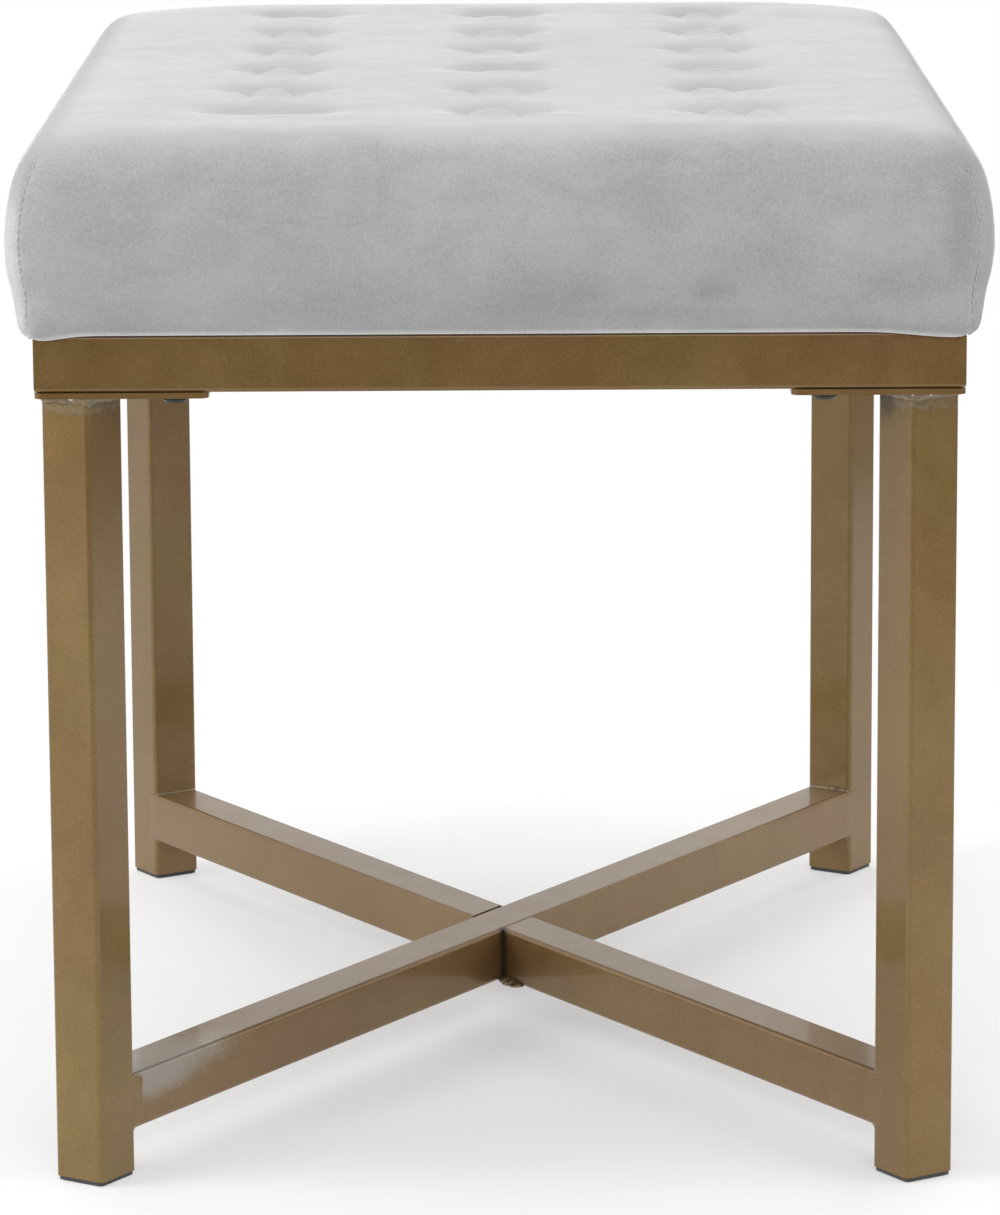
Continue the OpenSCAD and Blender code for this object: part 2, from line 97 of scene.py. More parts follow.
def set_coordinates(mesh, points):
    """Writes rows of x, y, z back to a mesh."""
    mesh.vertices.foreach_set("co", np.asarray(points, float).ravel())
    mesh.update()


def point_normals(mesh):
    """The normal at each point of a mesh."""
    flat = np.empty(len(mesh.vertices) * 3)
    mesh.vertex_normals.foreach_get("vector", flat)
    return flat.reshape(-1, 3)


def new_piece(name, points, faces, material, slot):
    """A smooth-shaded mesh piece that rides on the bench."""
    mesh = bpy.data.meshes.new(name)
    mesh.from_pydata([tuple(p) for p in points], [], [tuple(f) for f in faces])
    mesh.validate()
    mesh.shade_smooth()
    piece = bpy.data.objects.new(name, mesh)
    bpy.context.scene.collection.objects.link(piece)
    mesh.materials.append(material)
    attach(piece, "root")
    return piece


def smooth_step(low, high, value):
    """0 below low, 1 above high, and a smooth rise between them."""
    t = np.clip((value - low) / (high - low), 0, 1)
    return t * t * (3 - 2 * t)


def noise_field(points, scale, seed):
    """Smooth noise from -1 to 1 at each point; scale is waves per metre on each axis."""
    offset = Vector((seed * 7.31, seed * 3.17, seed * 5.93))
    stretched = points * np.asarray(scale, float)
    return np.array([noise.noise(Vector(p) + offset) for p in stretched])


def grid_faces(columns, rows):
    """Faces of a grid whose points run along x first; they face up."""
    return [
        (j * columns + i, j * columns + i + 1, (j + 1) * columns + i + 1, (j + 1) * columns + i)
        for j in range(rows - 1)
        for i in range(columns - 1)
    ]


def rim_of(columns, rows):
    """The places round a grid's edge as (column, row), one after another."""
    rim = [(i, 0) for i in range(columns - 1)] + [(columns - 1, j) for j in range(rows - 1)]
    rim += [(i, rows - 1) for i in range(columns - 1, 0, -1)]
    return rim + [(0, j) for j in range(rows - 1, 0, -1)]


def slab_faces(columns, rows):
    """Faces of a slab: a grid of points on top, the same grid below it, and the sides between them."""
    count = columns * rows
    faces = grid_faces(columns, rows)
    faces += [tuple(i + count for i in face[::-1]) for face in grid_faces(columns, rows)]
    rim = [j * columns + i for i, j in rim_of(columns, rows)]
    for a, b in zip(rim, rim[1:] + rim[:1]):
        faces.append((a, a + count, b + count, b))
    return faces


def slab_points(x, y, top, low):
    """Points of a slab: the places at their heights on top, then below."""
    return np.vstack([np.column_stack([x, y, top]), np.column_stack([x, y, low])])


def tube_faces(rows, ring, closed=False):
    """Faces of a tube made of rows of points; its ends are shut, or closed joins them to each other."""
    faces = []
    for k in range(rows if closed else rows - 1):
        n = (k + 1) % rows
        for j in range(ring):
            m = (j + 1) % ring
            faces.append((k * ring + j, k * ring + m, n * ring + m, n * ring + j))
    if not closed:
        faces.append(tuple(range(ring))[::-1])
        faces.append(tuple((rows - 1) * ring + j for j in range(ring)))
    return faces


def joined(parts):
    """Joins (points, faces) parts into one list of each."""
    points, faces = [], []
    for some_points, some_faces in parts:
        start = len(points)
        points += some_points
        faces += [tuple(start + i for i in face) for face in some_faces]
    return points, faces


def evaluated(piece):
    """A piece as its modifiers leave it."""
    return piece.evaluated_get(bpy.context.evaluated_depsgraph_get())


def in_corner(points, sx, sy):
    """Which points lie in one quarter of the bench, seen from above."""
    return (points[:, 0] * sx > 0) & (points[:, 1] * sy > 0)


def store_mask(mesh, name, values):
    """Keeps one number per point on the mesh, for its material to read."""
    mask = mesh.attributes.new(name, "FLOAT", "POINT")
    mask.data.foreach_set("value", values)


def finish_node(node, material):
    """Puts one material on all of a node."""
    for slot in node.material_slots:
        slot.material = material


# Materials

WHITE = (1.0, 1.0, 1.0, 1.0)
# Masks that the velvet keeps on its points; most paint light or shade into its colour
EDGE_HIGHLIGHT_MASK = "painted edge highlight"
LEFT_SHEEN_MASK = "painted left panel sheen"
BRUSHED_AND_SHADE_MASK = "brushed pile and painted shade"
LIP_LIGHT_MASK = "painted tuft lip light"


def rgba(colour):
    """A colour with full alpha."""
    return (*colour, 1.0)


def new_material(name):
    """A material with a Principled shader, and a small node builder for it."""
    material = bpy.data.materials.new(name)
    material.use_nodes = True
    nodes = material.node_tree.nodes
    shader = next(n for n in nodes if n.type == "BSDF_PRINCIPLED")
    return material, NodeDesk(material.node_tree), shader


# Shader inputs whose names aren't plain title case
SHADER_INPUTS = {"specular": "Specular IOR Level"}


class NodeDesk:
    """Adds nodes to a tree and joins them up."""

    def __init__(self, tree):
        self.tree = tree

    def add(self, kind, inputs=None, **settings):
        """A new node; inputs maps socket names or numbers to values or sockets."""
        node = self.tree.nodes.new(kind)
        for key, value in settings.items():
            setattr(node, key, value)
        for key, value in (inputs or {}).items():
            self.feed(node.inputs[key], value)
        return node

    def feed(self, socket, value):
        """Sets a socket, or links it to another socket."""
        if isinstance(value, bpy.types.NodeSocket):
            self.tree.links.new(value, socket)
        else:
            socket.default_value = value

    def place(self, scale=(1, 1, 1)):
        """Object coordinates, stretched."""
        where = self.add("ShaderNodeTexCoord").outputs["Object"]
        return self.add("ShaderNodeMapping", {"Vector": where, "Scale": scale}).outputs["Vector"]

    def noise(self, vector, scale, detail=2.0, roughness=0.5, seed=0.0, distortion=0.0):
        """Noise from 0 to 1."""
        made = self.add("ShaderNodeTexNoise", {"Vector": vector}, noise_dimensions="4D")
        self.fill(made, w=seed, scale=scale, detail=detail, roughness=roughness, distortion=distortion)
        return made.outputs["Fac"]

    def range(self, value, low, high, to_low, to_high, smooth=False):
        """Maps a value from one range to another, clamped."""
        kind = "SMOOTHSTEP" if smooth else "LINEAR"
        made = self.add("ShaderNodeMapRange", {0: value, 1: low, 2: high, 3: to_low, 4: to_high})
        made.interpolation_type = kind
        return made.outputs[0]

    def math(self, operation, a, b=0.0, c=0.0):
        """One step of arithmetic."""
        return self.add("ShaderNodeMath", {0: a, 1: b, 2: c}, operation=operation).outputs[0]

    def blend(self, fac, a, b, how="MIX"):
        """Blends two colours."""
        made = self.add("ShaderNodeMix", data_type="RGBA", blend_type=how)
        self.fill(made, factor=fac, a=a, b=b)
        return made.outputs["Result"]

    def grey(self, amount):
        """A grey colour from a number."""
        return self.add("ShaderNodeCombineColor", {0: amount, 1: amount, 2: amount}).outputs[0]

    def shade(self, colour, amount):
        """Multiplies a colour by a grey value."""
        return self.blend(1.0, colour, self.grey(amount), "MULTIPLY")

    def stored(self, name):
        """The number that a mesh keeps under a name on its points."""
        return self.add("ShaderNodeAttribute", attribute_name=name).outputs["Fac"]

    def distance(self, a, b):
        """How far apart two places are."""
        return self.add("ShaderNodeVectorMath", {0: a, 1: b}, operation="DISTANCE").outputs["Value"]

    def axes(self, vector):
        """A vector's X, Y and Z."""
        return self.add("ShaderNodeSeparateXYZ", {0: vector}).outputs

    def fill(self, node, **inputs):
        """Sets a node's inputs by name: base_color stands for Base Color."""
        for key, value in inputs.items():
            self.feed(node.inputs[SHADER_INPUTS.get(key, key.replace("_", " ").title())], value)

    def bump(self, height, distance, normal=None, strength=1.0):
        """A normal from a height, over a given normal; distance is metres for a height of 1."""
        inputs = {"Height": height, "Distance": distance, "Strength": strength}
        if normal is not None:
            inputs["Normal"] = normal
        return self.add("ShaderNodeBump", inputs).outputs["Normal"]

    def group(self, tree, **inputs):
        """A placed node group, with its inputs set by name."""
        node = self.add("ShaderNodeGroup", node_tree=tree)
        for key, value in inputs.items():
            self.feed(node.inputs[key.replace("_", " ").capitalize()], value)
        return node


def new_group(name, inputs, outputs):
    """An empty shader node group; inputs maps names to defaults, outputs maps names to kinds."""
    tree = bpy.data.node_groups.new(name, "ShaderNodeTree")
    for key, default in inputs.items():
        kind = "NodeSocketColor" if isinstance(default, tuple) else "NodeSocketFloat"
        tree.interface.new_socket(name=key, in_out="INPUT", socket_type=kind).default_value = default
    for key, kind in outputs.items():
        tree.interface.new_socket(name=key, in_out="OUTPUT", socket_type="NodeSocket" + kind)
    desk = NodeDesk(tree)
    return tree, desk, desk.add("NodeGroupInput"), desk.add("NodeGroupOutput")


def shared_group(name, build):
    """A node group that is built once and then shared."""
    return bpy.data.node_groups.get(name) or build(name)


def build_paint_flake(name):
    """Metallic paint: flakes, a soft orange-peel skin and slow changes of tone."""
    tree, desk, given, out = new_group(
        name,
        {"Colour": (0.3, 0.2, 0.1, 1.0), "Bright": (0.4, 0.3, 0.2, 1.0), "Flake": 0.2, "Peel": 0.5},
        {"Colour": "Color", "Roughness": "Float", "Normal": "Vector"},
    )
    where = desk.place()
    cells = desk.add("ShaderNodeTexVoronoi", {"Vector": where, "Scale": 2600.0}, feature="F1")
    speck = desk.add("ShaderNodeSeparateColor", {0: cells.outputs["Color"]}).outputs[0]
    tone = desk.noise(where, 9.0, 3.0, 0.55, 1.7)
    drift = desk.noise(where, 60.0, 3.0, 0.6, 4.1)
    light = desk.math("MULTIPLY_ADD", desk.range(speck, 0.55, 1.0, 0.0, 1.0), given.outputs["Flake"],
                      desk.range(tone, 0.3, 0.7, -0.06, 0.16))
    mixed = desk.blend(desk.math("ADD", light, desk.range(drift, 0.3, 0.7, -0.04, 0.06)),
                       given.outputs["Colour"], given.outputs["Bright"])
    hue = desk.range(desk.noise(where, 16.0, 3.0, 0.55, 9.4), 0.36, 0.64, 0.0, 1.0)
    tint = desk.blend(hue, (0.985, 1.015, 0.92, 1.0), (1.03, 0.98, 1.04, 1.0))
    mixed = desk.blend(1.0, mixed, tint, "MULTIPLY")
    fine = desk.noise(where, 1400.0, 2.0, 0.5, 2.9)
    peel = desk.noise(where, 420.0, 1.5, 0.4, 8.3)
    height = desk.math("MULTIPLY_ADD", fine, 0.25, peel)
    desk.fill(out, colour=mixed, roughness=desk.range(drift, 0.25, 0.75, 0.34, 0.46),
              normal=desk.bump(height, 0.06 * MM, strength=given.outputs["Peel"]))
    return tree


def build_fine_grain(name):
    """Fine grain for plain surfaces: a mask, a roughness and a height."""
    tree, desk, given, out = new_group(
        name,
        {"Scale": 900.0, "Rough low": 0.4, "Rough high": 0.6},
        {"Mask": "Float", "Roughness": "Float", "Height": "Float"},
    )
    where = desk.place()
    fine = desk.add("ShaderNodeTexNoise", {"Vector": where, "Scale": given.outputs["Scale"], "Detail": 3.0})
    slow = desk.noise(where, 45.0, 3.0, 0.6, 6.2)
    mask = desk.math("MULTIPLY_ADD", fine.outputs["Fac"], 0.5, desk.math("MULTIPLY", slow, 0.5))
    rough = desk.range(slow, 0.3, 0.7, given.outputs["Rough low"], given.outputs["Rough high"])
    desk.fill(out, mask=desk.range(mask, 0.3, 0.7, 0.0, 1.0), roughness=rough, height=fine.outputs["Fac"])
    return tree


def build_heat_marks(name):
    """Marks that welding leaves under the coat: where they lie is given by a mask."""
    tree, desk, given, out = new_group(
        name,
        {"Colour": (0.3, 0.2, 0.1, 1.0), "Mask": 0.0, "Pale": (0.25, 0.193, 0.11, 1.0),
         "Dark": (0.085, 0.075, 0.056, 1.0)},
        {"Colour": "Color"},
    )
    where = desk.place(scale=(1.0, 1.0, 1.4))
    streaks = desk.noise(where, 170.0, 5.0, 0.62, 1.1, 1.4)
    stains = desk.noise(where, 110.0, 4.0, 0.62, 7.7, 0.9)
    reach = desk.math("MULTIPLY_ADD", streaks, 1.3, given.outputs["Mask"])
    pale = desk.math("MULTIPLY", desk.range(reach, 0.95, 1.35, 0.0, 1.0),
                     desk.range(streaks, 0.34, 0.6, 0.25, 0.9))
    dark = desk.math("MULTIPLY", desk.range(stains, 0.5, 0.66, 0.0, 0.75), given.outputs["Mask"])
    first = desk.blend(pale, given.outputs["Colour"], given.outputs["Pale"])
    desk.fill(out, colour=desk.blend(dark, first, given.outputs["Dark"]))
    return tree


# Slight differences between batches of the coat
LEG_TINT = (1.02, 1.08, 1.06)
BAR_TINT = (1.06, 1.1, 1.3)
BEAD_TINT = (1.0, 1.04, 1.1)
# Painted light on the coat: the colours of a pale painted reflection and of painted shade
REFLECTION_GREY = (0.36, 0.33, 0.29, 1.0)
PAINTED_SHADE_COLOUR = (0.028, 0.028, 0.027, 1.0)


def coat_settings(tint):
    """The powder coat's two colours, as one batch of it came out."""
    settings = look_settings()
    colours = (settings.coat_colour, settings.coat_bright)
    return [rgba(c * t for c, t in zip(colour, tint)) for colour in colours]


def powder_coat(name, tint=(1.0, 1.0, 1.0), peel=0.5, marks=None, painted_reflection=None, painted_shade=None, gloss=0.5):
    """Satin metallic powder coat over steel; masks place heat marks, a pale painted reflection and painted
    shade.
    """
    material, desk, shader = new_material(name)
    colour, bright = coat_settings(tint)
    paint = desk.group(shared_group("Paint flake", build_paint_flake), colour=colour, bright=bright,
                       flake=0.22, peel=peel)
    shown = paint.outputs["Colour"]
    if marks:
        heat = desk.group(shared_group("Heat marks", build_heat_marks), colour=shown, mask=marks(desk))
        shown = heat.outputs["Colour"]
    # Painted reflection: pale grey where its mask lies
    if painted_reflection:
        shown = desk.blend(painted_reflection(desk), shown, REFLECTION_GREY)
    # Painted shade: near black where its mask lies
    if painted_shade:
        shown = desk.blend(painted_shade(desk), shown, PAINTED_SHADE_COLOUR)
    desk.fill(shader, base_color=shown, roughness=paint.outputs["Roughness"], normal=paint.outputs["Normal"],
              metallic=0.5, specular=0.3, coat_weight=gloss, coat_roughness=0.09)
    return material


def near_height(start, end, strength=1.0):
    """A mask that grows from one height to another."""
    def mask(desk):
        height = desk.axes(desk.place())["Z"]
        return desk.range(height, start, end, 0.0, strength, smooth=True)
    return mask


def near_point(place, inner, outer, strength=1.0, squash=1.0):
    """A mask that fades away from one point, ragged at its edge; squash shortens its height."""
    def mask(desk):
        where = desk.place(scale=(1.0, 1.0, squash))
        centre = (place[0], place[1], place[2] * squash)
        away = desk.distance(where, centre)
        ragged = desk.math("MULTIPLY_ADD", desk.noise(desk.place(), 120.0, 4.0, 0.6, 5.5, 0.6),
                           0.8 * (outer - inner), away)
        return desk.range(ragged, inner + 0.3 * (outer - inner), outer, strength, 0.0, smooth=True)
    return mask


def near_upright(x, y, inner, outer, strength=1.0):
    """A mask that fades away from four upright lines, at (x, y) and its mirror images."""
    def mask(desk):
        size = desk.add("ShaderNodeVectorMath", {0: desk.place()}, operation="ABSOLUTE").outputs[0]
        flat = desk.add("ShaderNodeVectorMath", {0: size, 1: (1.0, 1.0, 0.0)}, operation="MULTIPLY")
        away = desk.distance(flat.outputs[0], (x, y, 0.0))
        return desk.range(away, inner, outer, strength, 0.0, smooth=True)
    return mask


def grained(name, colour, dark, scale, rough, metallic=0.0, depth=0.04 * MM):
    """A plain surface with fine grain: bare or plated steel, moulded plastic or thread."""
    material, desk, shader = new_material(name)
    grain = desk.group(shared_group("Fine grain", build_fine_grain), scale=scale,
                       rough_low=rough[0], rough_high=rough[1])
    desk.fill(shader, base_color=desk.blend(grain.outputs["Mask"], rgba(dark), rgba(colour)),
              roughness=grain.outputs["Roughness"], normal=desk.bump(grain.outputs["Height"], depth),
              metallic=metallic)
    return material


def velvet_material():
    """Pale cotton velvet: short pile with brushed patches, fibre speckle and a soft sheen, plus painted light
    and shade.
    """
    settings = look_settings()
    material, desk, shader = new_material("pale velvet")
    along = desk.place(scale=(1.0, 1.0, 1.6))
    plain = desk.place()
    clouds = desk.noise(along, 11.0, 4.0, 0.5, 3.3, 0.4)
    patches = desk.noise(along, 34.0, 5.0, 0.6, 8.6, 0.8)
    tufts = desk.noise(plain, 620.0, 2.0, 0.6, 1.2, 0.7)
    fibres = desk.noise(plain, 1500.0, 2.0, 0.7, 5.1)
    tone = desk.math("ADD", desk.range(clouds, 0.32, 0.68, -0.055, 0.045),
                     desk.range(patches, 0.3, 0.7, -0.08, 0.08))
    grain = desk.math("ADD", desk.range(tufts, 0.3, 0.7, -0.065, 0.065),
                      desk.range(fibres, 0.25, 0.75, -0.14, 0.14))
    height = desk.axes(plain)["Z"]
    # Painted shade: a darker band round the shoulder below the top's edge, darkest 6 to 12 mm below the crown
    rising = desk.range(height, CROWN_Z - 34 * MM, CROWN_Z - 12 * MM, 0.0, 0.055, smooth=True)
    falling = desk.range(height, CROWN_Z - 6 * MM, CROWN_Z - 1.5 * MM, 0.0, 0.055, smooth=True)
    shoulder_shade = desk.math("SUBTRACT", falling, rising)
    value = desk.math("ADD", desk.math("ADD", tone, grain), desk.math("ADD", shoulder_shade, 1.04))
    # Darker front: brushed pile, and painted shade in the band at the right front corner
    darkest = desk.range(patches, 0.3, 0.6, -0.12, -0.26)
    value = desk.math("MULTIPLY_ADD", desk.stored(BRUSHED_AND_SHADE_MASK), darkest, value)
    # Painted light: sheen on the left panel, a highlight on the turned lower edge, and on the tufts' lips a
    # highlight with shade in the crease behind
    painted_light = desk.math("MULTIPLY_ADD", desk.stored(LEFT_SHEEN_MASK), 0.45, desk.stored(EDGE_HIGHLIGHT_MASK))
    painted_light = desk.math("MULTIPLY_ADD", desk.stored(LIP_LIGHT_MASK), 0.7, painted_light)
    value = desk.math("MULTIPLY", value, desk.math("ADD", painted_light, 1.0))
    pile = desk.math("MULTIPLY_ADD", tufts, 0.6, desk.math("MULTIPLY", fibres, 0.25))
    coarse = desk.bump(desk.noise(along, 26.0, 1.5, 0.5, 8.6), 0.8 * MM)
    desk.fill(shader, base_color=desk.shade(rgba(settings.velvet_colour), value),
              normal=desk.bump(pile, 0.22 * MM, coarse), roughness=desk.range(patches, 0.3, 0.7, 0.82, 0.95),
              specular=0.15, sheen_weight=settings.velvet_sheen, sheen_roughness=0.2, sheen_tint=WHITE)
    return material


def cloth_material(name, colour, thread, weave_depth, rough):
    """A plain cloth or cord with crossing threads and fluff."""
    material, desk, shader = new_material(name)
    where = desk.place()
    wave = {"Vector": where, "Scale": 1.0 / (20 * thread), "Distortion": 0.6, "Detail": 2.0}
    across, along = (desk.add("ShaderNodeTexWave", wave, bands_direction=way).outputs["Fac"] for way in "XY")
    weave = desk.math("MAXIMUM", across, along)
    fluff = desk.noise(where, 700.0, 4.0, 0.7, 2.2)
    value = desk.math("ADD", desk.range(weave, 0.0, 1.0, 0.8, 1.05), desk.range(fluff, 0.3, 0.7, -0.12, 0.12))
    desk.fill(shader, base_color=desk.shade(rgba(colour), value),
              roughness=desk.range(fluff, 0.3, 0.7, rough - 0.06, rough + 0.06),
              normal=desk.bump(desk.math("MULTIPLY_ADD", fluff, 0.6, weave), weave_depth))
    return material


def plywood_material():
    """Plywood: long grain on the faces and thin glued layers at the edges."""
    material, desk, shader = new_material("birch plywood")
    grain = desk.noise(desk.place(scale=(14.0, 1.0, 1.0)), 22.0, 6.0, 0.65, 2.4, 1.2)
    layers = desk.add("ShaderNodeTexWave", {"Vector": desk.place(), "Scale": 33.0, "Distortion": 0.15},
                      bands_direction="Z")
    light = (0.62, 0.45, 0.27, 1.0)
    dark = (0.40, 0.26, 0.14, 1.0)
    face = desk.blend(desk.range(grain, 0.35, 0.7, 0.0, 1.0), light, dark)
    edge = desk.range(layers.outputs["Fac"], 0.3, 0.7, 0.82, 1.0)
    desk.fill(shader, base_color=desk.shade(face, edge), roughness=desk.range(grain, 0.3, 0.7, 0.55, 0.75),
              normal=desk.bump(grain, 0.2 * MM))
    return material


def foam_material():
    """Cream open-cell foam."""
    material, desk, shader = new_material("seat foam")
    where = desk.place()
    cells = desk.add("ShaderNodeTexVoronoi", {"Vector": where, "Scale": 1400.0}, feature="F1")
    slow = desk.noise(where, 20.0, 3.0, 0.6, 3.0)
    depth = cells.outputs["Distance"]
    walls = (0.86, 0.80, 0.58, 1.0)
    hollows = (0.55, 0.48, 0.30, 1.0)
    colour = desk.blend(desk.range(depth, 0.1, 0.6, 0.0, 1.0), walls, hollows)
    desk.fill(shader, base_color=desk.shade(colour, desk.range(slow, 0.3, 0.7, 0.92, 1.04)),
              roughness=desk.range(slow, 0.3, 0.7, 0.85, 0.95), normal=desk.bump(depth, -0.5 * MM))
    return material


def seen_directly(desk, studio):
    """One for rays from the camera, the studio mask for rays that gloss or glass sends on, else zero."""
    rays = desk.add("ShaderNodeLightPath").outputs
    sent_on = desk.math("MAXIMUM", rays["Is Glossy Ray"], rays["Is Transmission Ray"])
    return desk.math("MAXIMUM", rays["Is Camera Ray"], desk.math("MULTIPLY", sent_on, studio))


# The cushion's form

# The most that the cushion stands out past the apron, and how far the flat top's edge lies in from it
WIDEST, TOP_INSET = 13.5 * MM, 40 * MM
# Radius of the upright corners at the top, where they stand out most and where they are stapled
TOP_CORNER, SIDE_CORNER, BOTTOM_CORNER = 12 * MM, 25 * MM, 9 * MM
# Depths below the crown between which the upright corners go over to the last of these
SQUARE_FROM, SQUARE_TO = 64 * MM, 85 * MM
# From the edge of the flat top down to the board, in mm: (outset past the apron, depth below the crown)
PROFILE = ((-40.0, 0.0), (-31.0, 0.15), (-22.0, 0.55), (-14.0, 1.15), (-7.5, 2.1), (-2.6, 3.6),
           (0.9, 6.3), (4.2, 10.6), (7.4, 15.6), (9.9, 21.0), (11.7, 28.0), (12.9, 36.0),
           (13.5, 44.0), (13.4, 52.0), (12.4, 60.0), (10.5, 67.0), (8.7, 72.5), (7.3, 77.0),
           (5.8, 80.6), (4.3, 83.3), (3.1, 85.1), (2.1, 86.0), (1.2, 86.2), (0.5, 85.9),
           (-0.8, 85.6), (-3.5, 85.5), (-25.0, 85.5), (-47.0, 85.5))
# Places in the profile where the mesh's steps change, and the steps before, between and after them
LIP_START, LIP_END = 15, 22
SIDE_STEP, LIP_STEP, UNDER_STEP = 6 * MM, 1.5 * MM, 12 * MM
# The turned lower edge's middle, where its painted highlight is centred, as a place in the profile, and the
# depth below which it is held, in mm
LIP_FOLD = (2.5, 85.7)
HELD_BELOW = 84.0
# How far in from the apron's edge the velvet ends under the board
TURNED_IN = 47 * MM
# Steps of the cloth simulation, and how far it may move the top, and the sides beyond that, in mm
CLOTH_FRAMES = 20
TOP_SWELL, SIDE_SWELL = 0.08, 1.2
# How far the fine mesh reaches round each tuft, and the mesh step between the tufts
TUFT_ZONE, PLAIN_STEP = 24 * MM, 7.5 * MM
# How much each tuft's fold bends back towards its ends, per mm
TUFT_BEND = 0.006


def tuft_places():
    """The tufts' places as (x, y), from the front row to the rear."""
    settings = look_settings()
    xs = (np.arange(settings.tuft_columns) - (settings.tuft_columns - 1) / 2) * settings.tuft_pitch_x
    ys = (np.arange(settings.tuft_rows) - (settings.tuft_rows - 1) / 2) * settings.tuft_pitch_y
    return [(x, y) for y in ys for x in xs]


def axis_marks(centres, straight, reach, fine, coarse):
    """Grid places on one axis: fine steps near the tufts, then coarse ones, then the sewn corner."""
    marks = [-straight]
    stops = [s for c in sorted(centres) for s in (c - reach, c + reach)] + [straight]
    inside = False
    for stop in stops:
        step = fine if inside else coarse
        count = max(1, round((stop - marks[-1]) / step))
        marks += list(np.linspace(marks[-1], stop, count + 1)[1:])
        inside = not inside
    corner = np.array([0.3, 0.58, 0.8, 0.92, 1.0])
    middle = np.array(marks) / straight
    return np.concatenate([-1 - corner[::-1], middle, 1 + corner])


def laid_out(marks, half, radius):
    """Grid marks turned into places: 0 to 1 is the straight part, 1 to 2 the corner's part."""
    size = np.abs(marks)
    return np.sign(marks) * (np.minimum(size, 1) * (half - radius) + np.maximum(size - 1, 0) * radius)


def rounded(x, y, half_x, half_y, radius):
    """Draws points of a rectangle in towards its round corners."""
    dx = np.abs(x) - (half_x - radius)
    dy = np.abs(y) - (half_y - radius)
    corner = (dx > 0) & (dy > 0)
    length = np.where(corner, np.hypot(dx, dy), 1)
    pull = np.where(corner, np.maximum(dx, dy) / length, 1)
    new_x = np.where(corner, np.sign(x) * (half_x - radius + dx * pull), x)
    new_y = np.where(corner, np.sign(y) * (half_y - radius + dy * pull), y)
    return new_x, new_y


def profile_points():
    """The cushion's profile as (outset, drop) in metres, by a smooth curve with short steps at the lip."""
    marks = np.array(PROFILE) * MM
    along = np.concatenate([[0], np.cumsum(np.hypot(*np.diff(marks, axis=0).T))])
    stops = along[[0, LIP_START, LIP_END, -1]]
    stretches = []
    for start, end, step in zip(stops, stops[1:], (SIDE_STEP, LIP_STEP, UNDER_STEP)):
        stretches.append(np.linspace(start, end, round((end - start) / step) + 1)[1:])
    slope = np.gradient(marks, along, axis=0)
    last = len(marks) - 2
    found = []
    for s in np.concatenate(stretches):
        k = min(int(np.searchsorted(along, s, side="right")) - 1, last)
        h = along[k + 1] - along[k]
        t = (s - along[k]) / h
        from_start = (2 * t**3 - 3 * t**2 + 1) * marks[k] + (t**3 - 2 * t**2 + t) * h * slope[k]
        from_end = (-2 * t**3 + 3 * t**2) * marks[k + 1] + (t**3 - t**2) * h * slope[k + 1]
        found.append(from_start + from_end)
    return np.array(found)


def dimples(x, y, depth, reach):
    """How far the tufts draw the top down at each point."""
    dip = np.zeros_like(x)
    for tx, ty in tuft_places():
        r = np.hypot(x - tx, y - ty)
        dip = np.maximum(dip, depth * np.exp(-(r / reach) ** 2))
    return dip


def corner_radius(outset, drop):
    """Radius of the cushion's upright corner at one level: square-cut at the bottom, where it is stapled."""
    share = np.clip((outset + TOP_INSET) / (TOP_INSET + WIDEST), 0, 1)
    radius = TOP_CORNER + (SIDE_CORNER - TOP_CORNER) * share
    return radius + (BOTTOM_CORNER - radius) * float(smooth_step(SQUARE_FROM, SQUARE_TO, drop))


def cushion_shell():
    """Points and faces of the cover's outside, and how near each point is to the turned lower edge, for a
    painted highlight there.
    """
    settings = look_settings()
    half_x = HALF_W - TOP_INSET
    half_y = HALF_L - TOP_INSET
    places = tuft_places()
    fine = settings.tuft_grid
    marks_x = axis_marks({x for x, _ in places}, half_x - TOP_CORNER, TUFT_ZONE, fine, PLAIN_STEP)
    marks_y = axis_marks({y for _, y in places}, half_y - TOP_CORNER, TUFT_ZONE, fine, PLAIN_STEP)
    nx, ny = len(marks_x), len(marks_y)
    grid_x, grid_y = np.meshgrid(laid_out(marks_x, half_x, TOP_CORNER), laid_out(marks_y, half_y, TOP_CORNER))
    x, y = rounded(grid_x.ravel(), grid_y.ravel(), half_x, half_y, TOP_CORNER)
    points = [np.column_stack([x, y, np.full(len(x), CROWN_Z)])]
    faces = grid_faces(nx, ny)
    border = rim_of(nx, ny)
    border_x = marks_x[[i for i, _ in border]]
    border_y = marks_y[[j for _, j in border]]
    count = len(border)
    above = [j * nx + i for i, j in border]
    edge = [np.zeros(len(x))]
    for outset, drop in profile_points():
        radius = corner_radius(outset, drop)
        # Nearness to the fold, for the painted highlight along the turned lower edge
        fold = math.hypot(outset - LIP_FOLD[0] * MM, drop - LIP_FOLD[1] * MM)
        edge.append(np.full(count, math.exp(-(fold / (1.5 * MM)) ** 2)))
        ring_x = laid_out(border_x, HALF_W + outset, radius)
        ring_y = laid_out(border_y, HALF_L + outset, radius)
        rx, ry = rounded(ring_x, ring_y, HALF_W + outset, HALF_L + outset, radius)
        start = sum(len(p) for p in points)
        points.append(np.column_stack([rx, ry, np.full(count, CROWN_Z - drop)]))
        below = [start + k for k in range(count)]
        for k in range(count):
            n = (k + 1) % count
            faces.append((above[k], below[k], below[n], above[n]))
        above = below
    return np.vstack(points), faces, np.concatenate(edge)


def below_crown(points):
    """How far each point lies below the crown, in mm."""
    return (CROWN_Z - points[:, 2]) / MM


def drawn_in(points, normals, room):
    """The cover drawn in along its normals, so that air pressure can swell it back out."""
    drop = below_crown(points)
    free = 1 - smooth_step(62.0, HELD_BELOW, drop)
    return points - normals * (free * room)[:, None]


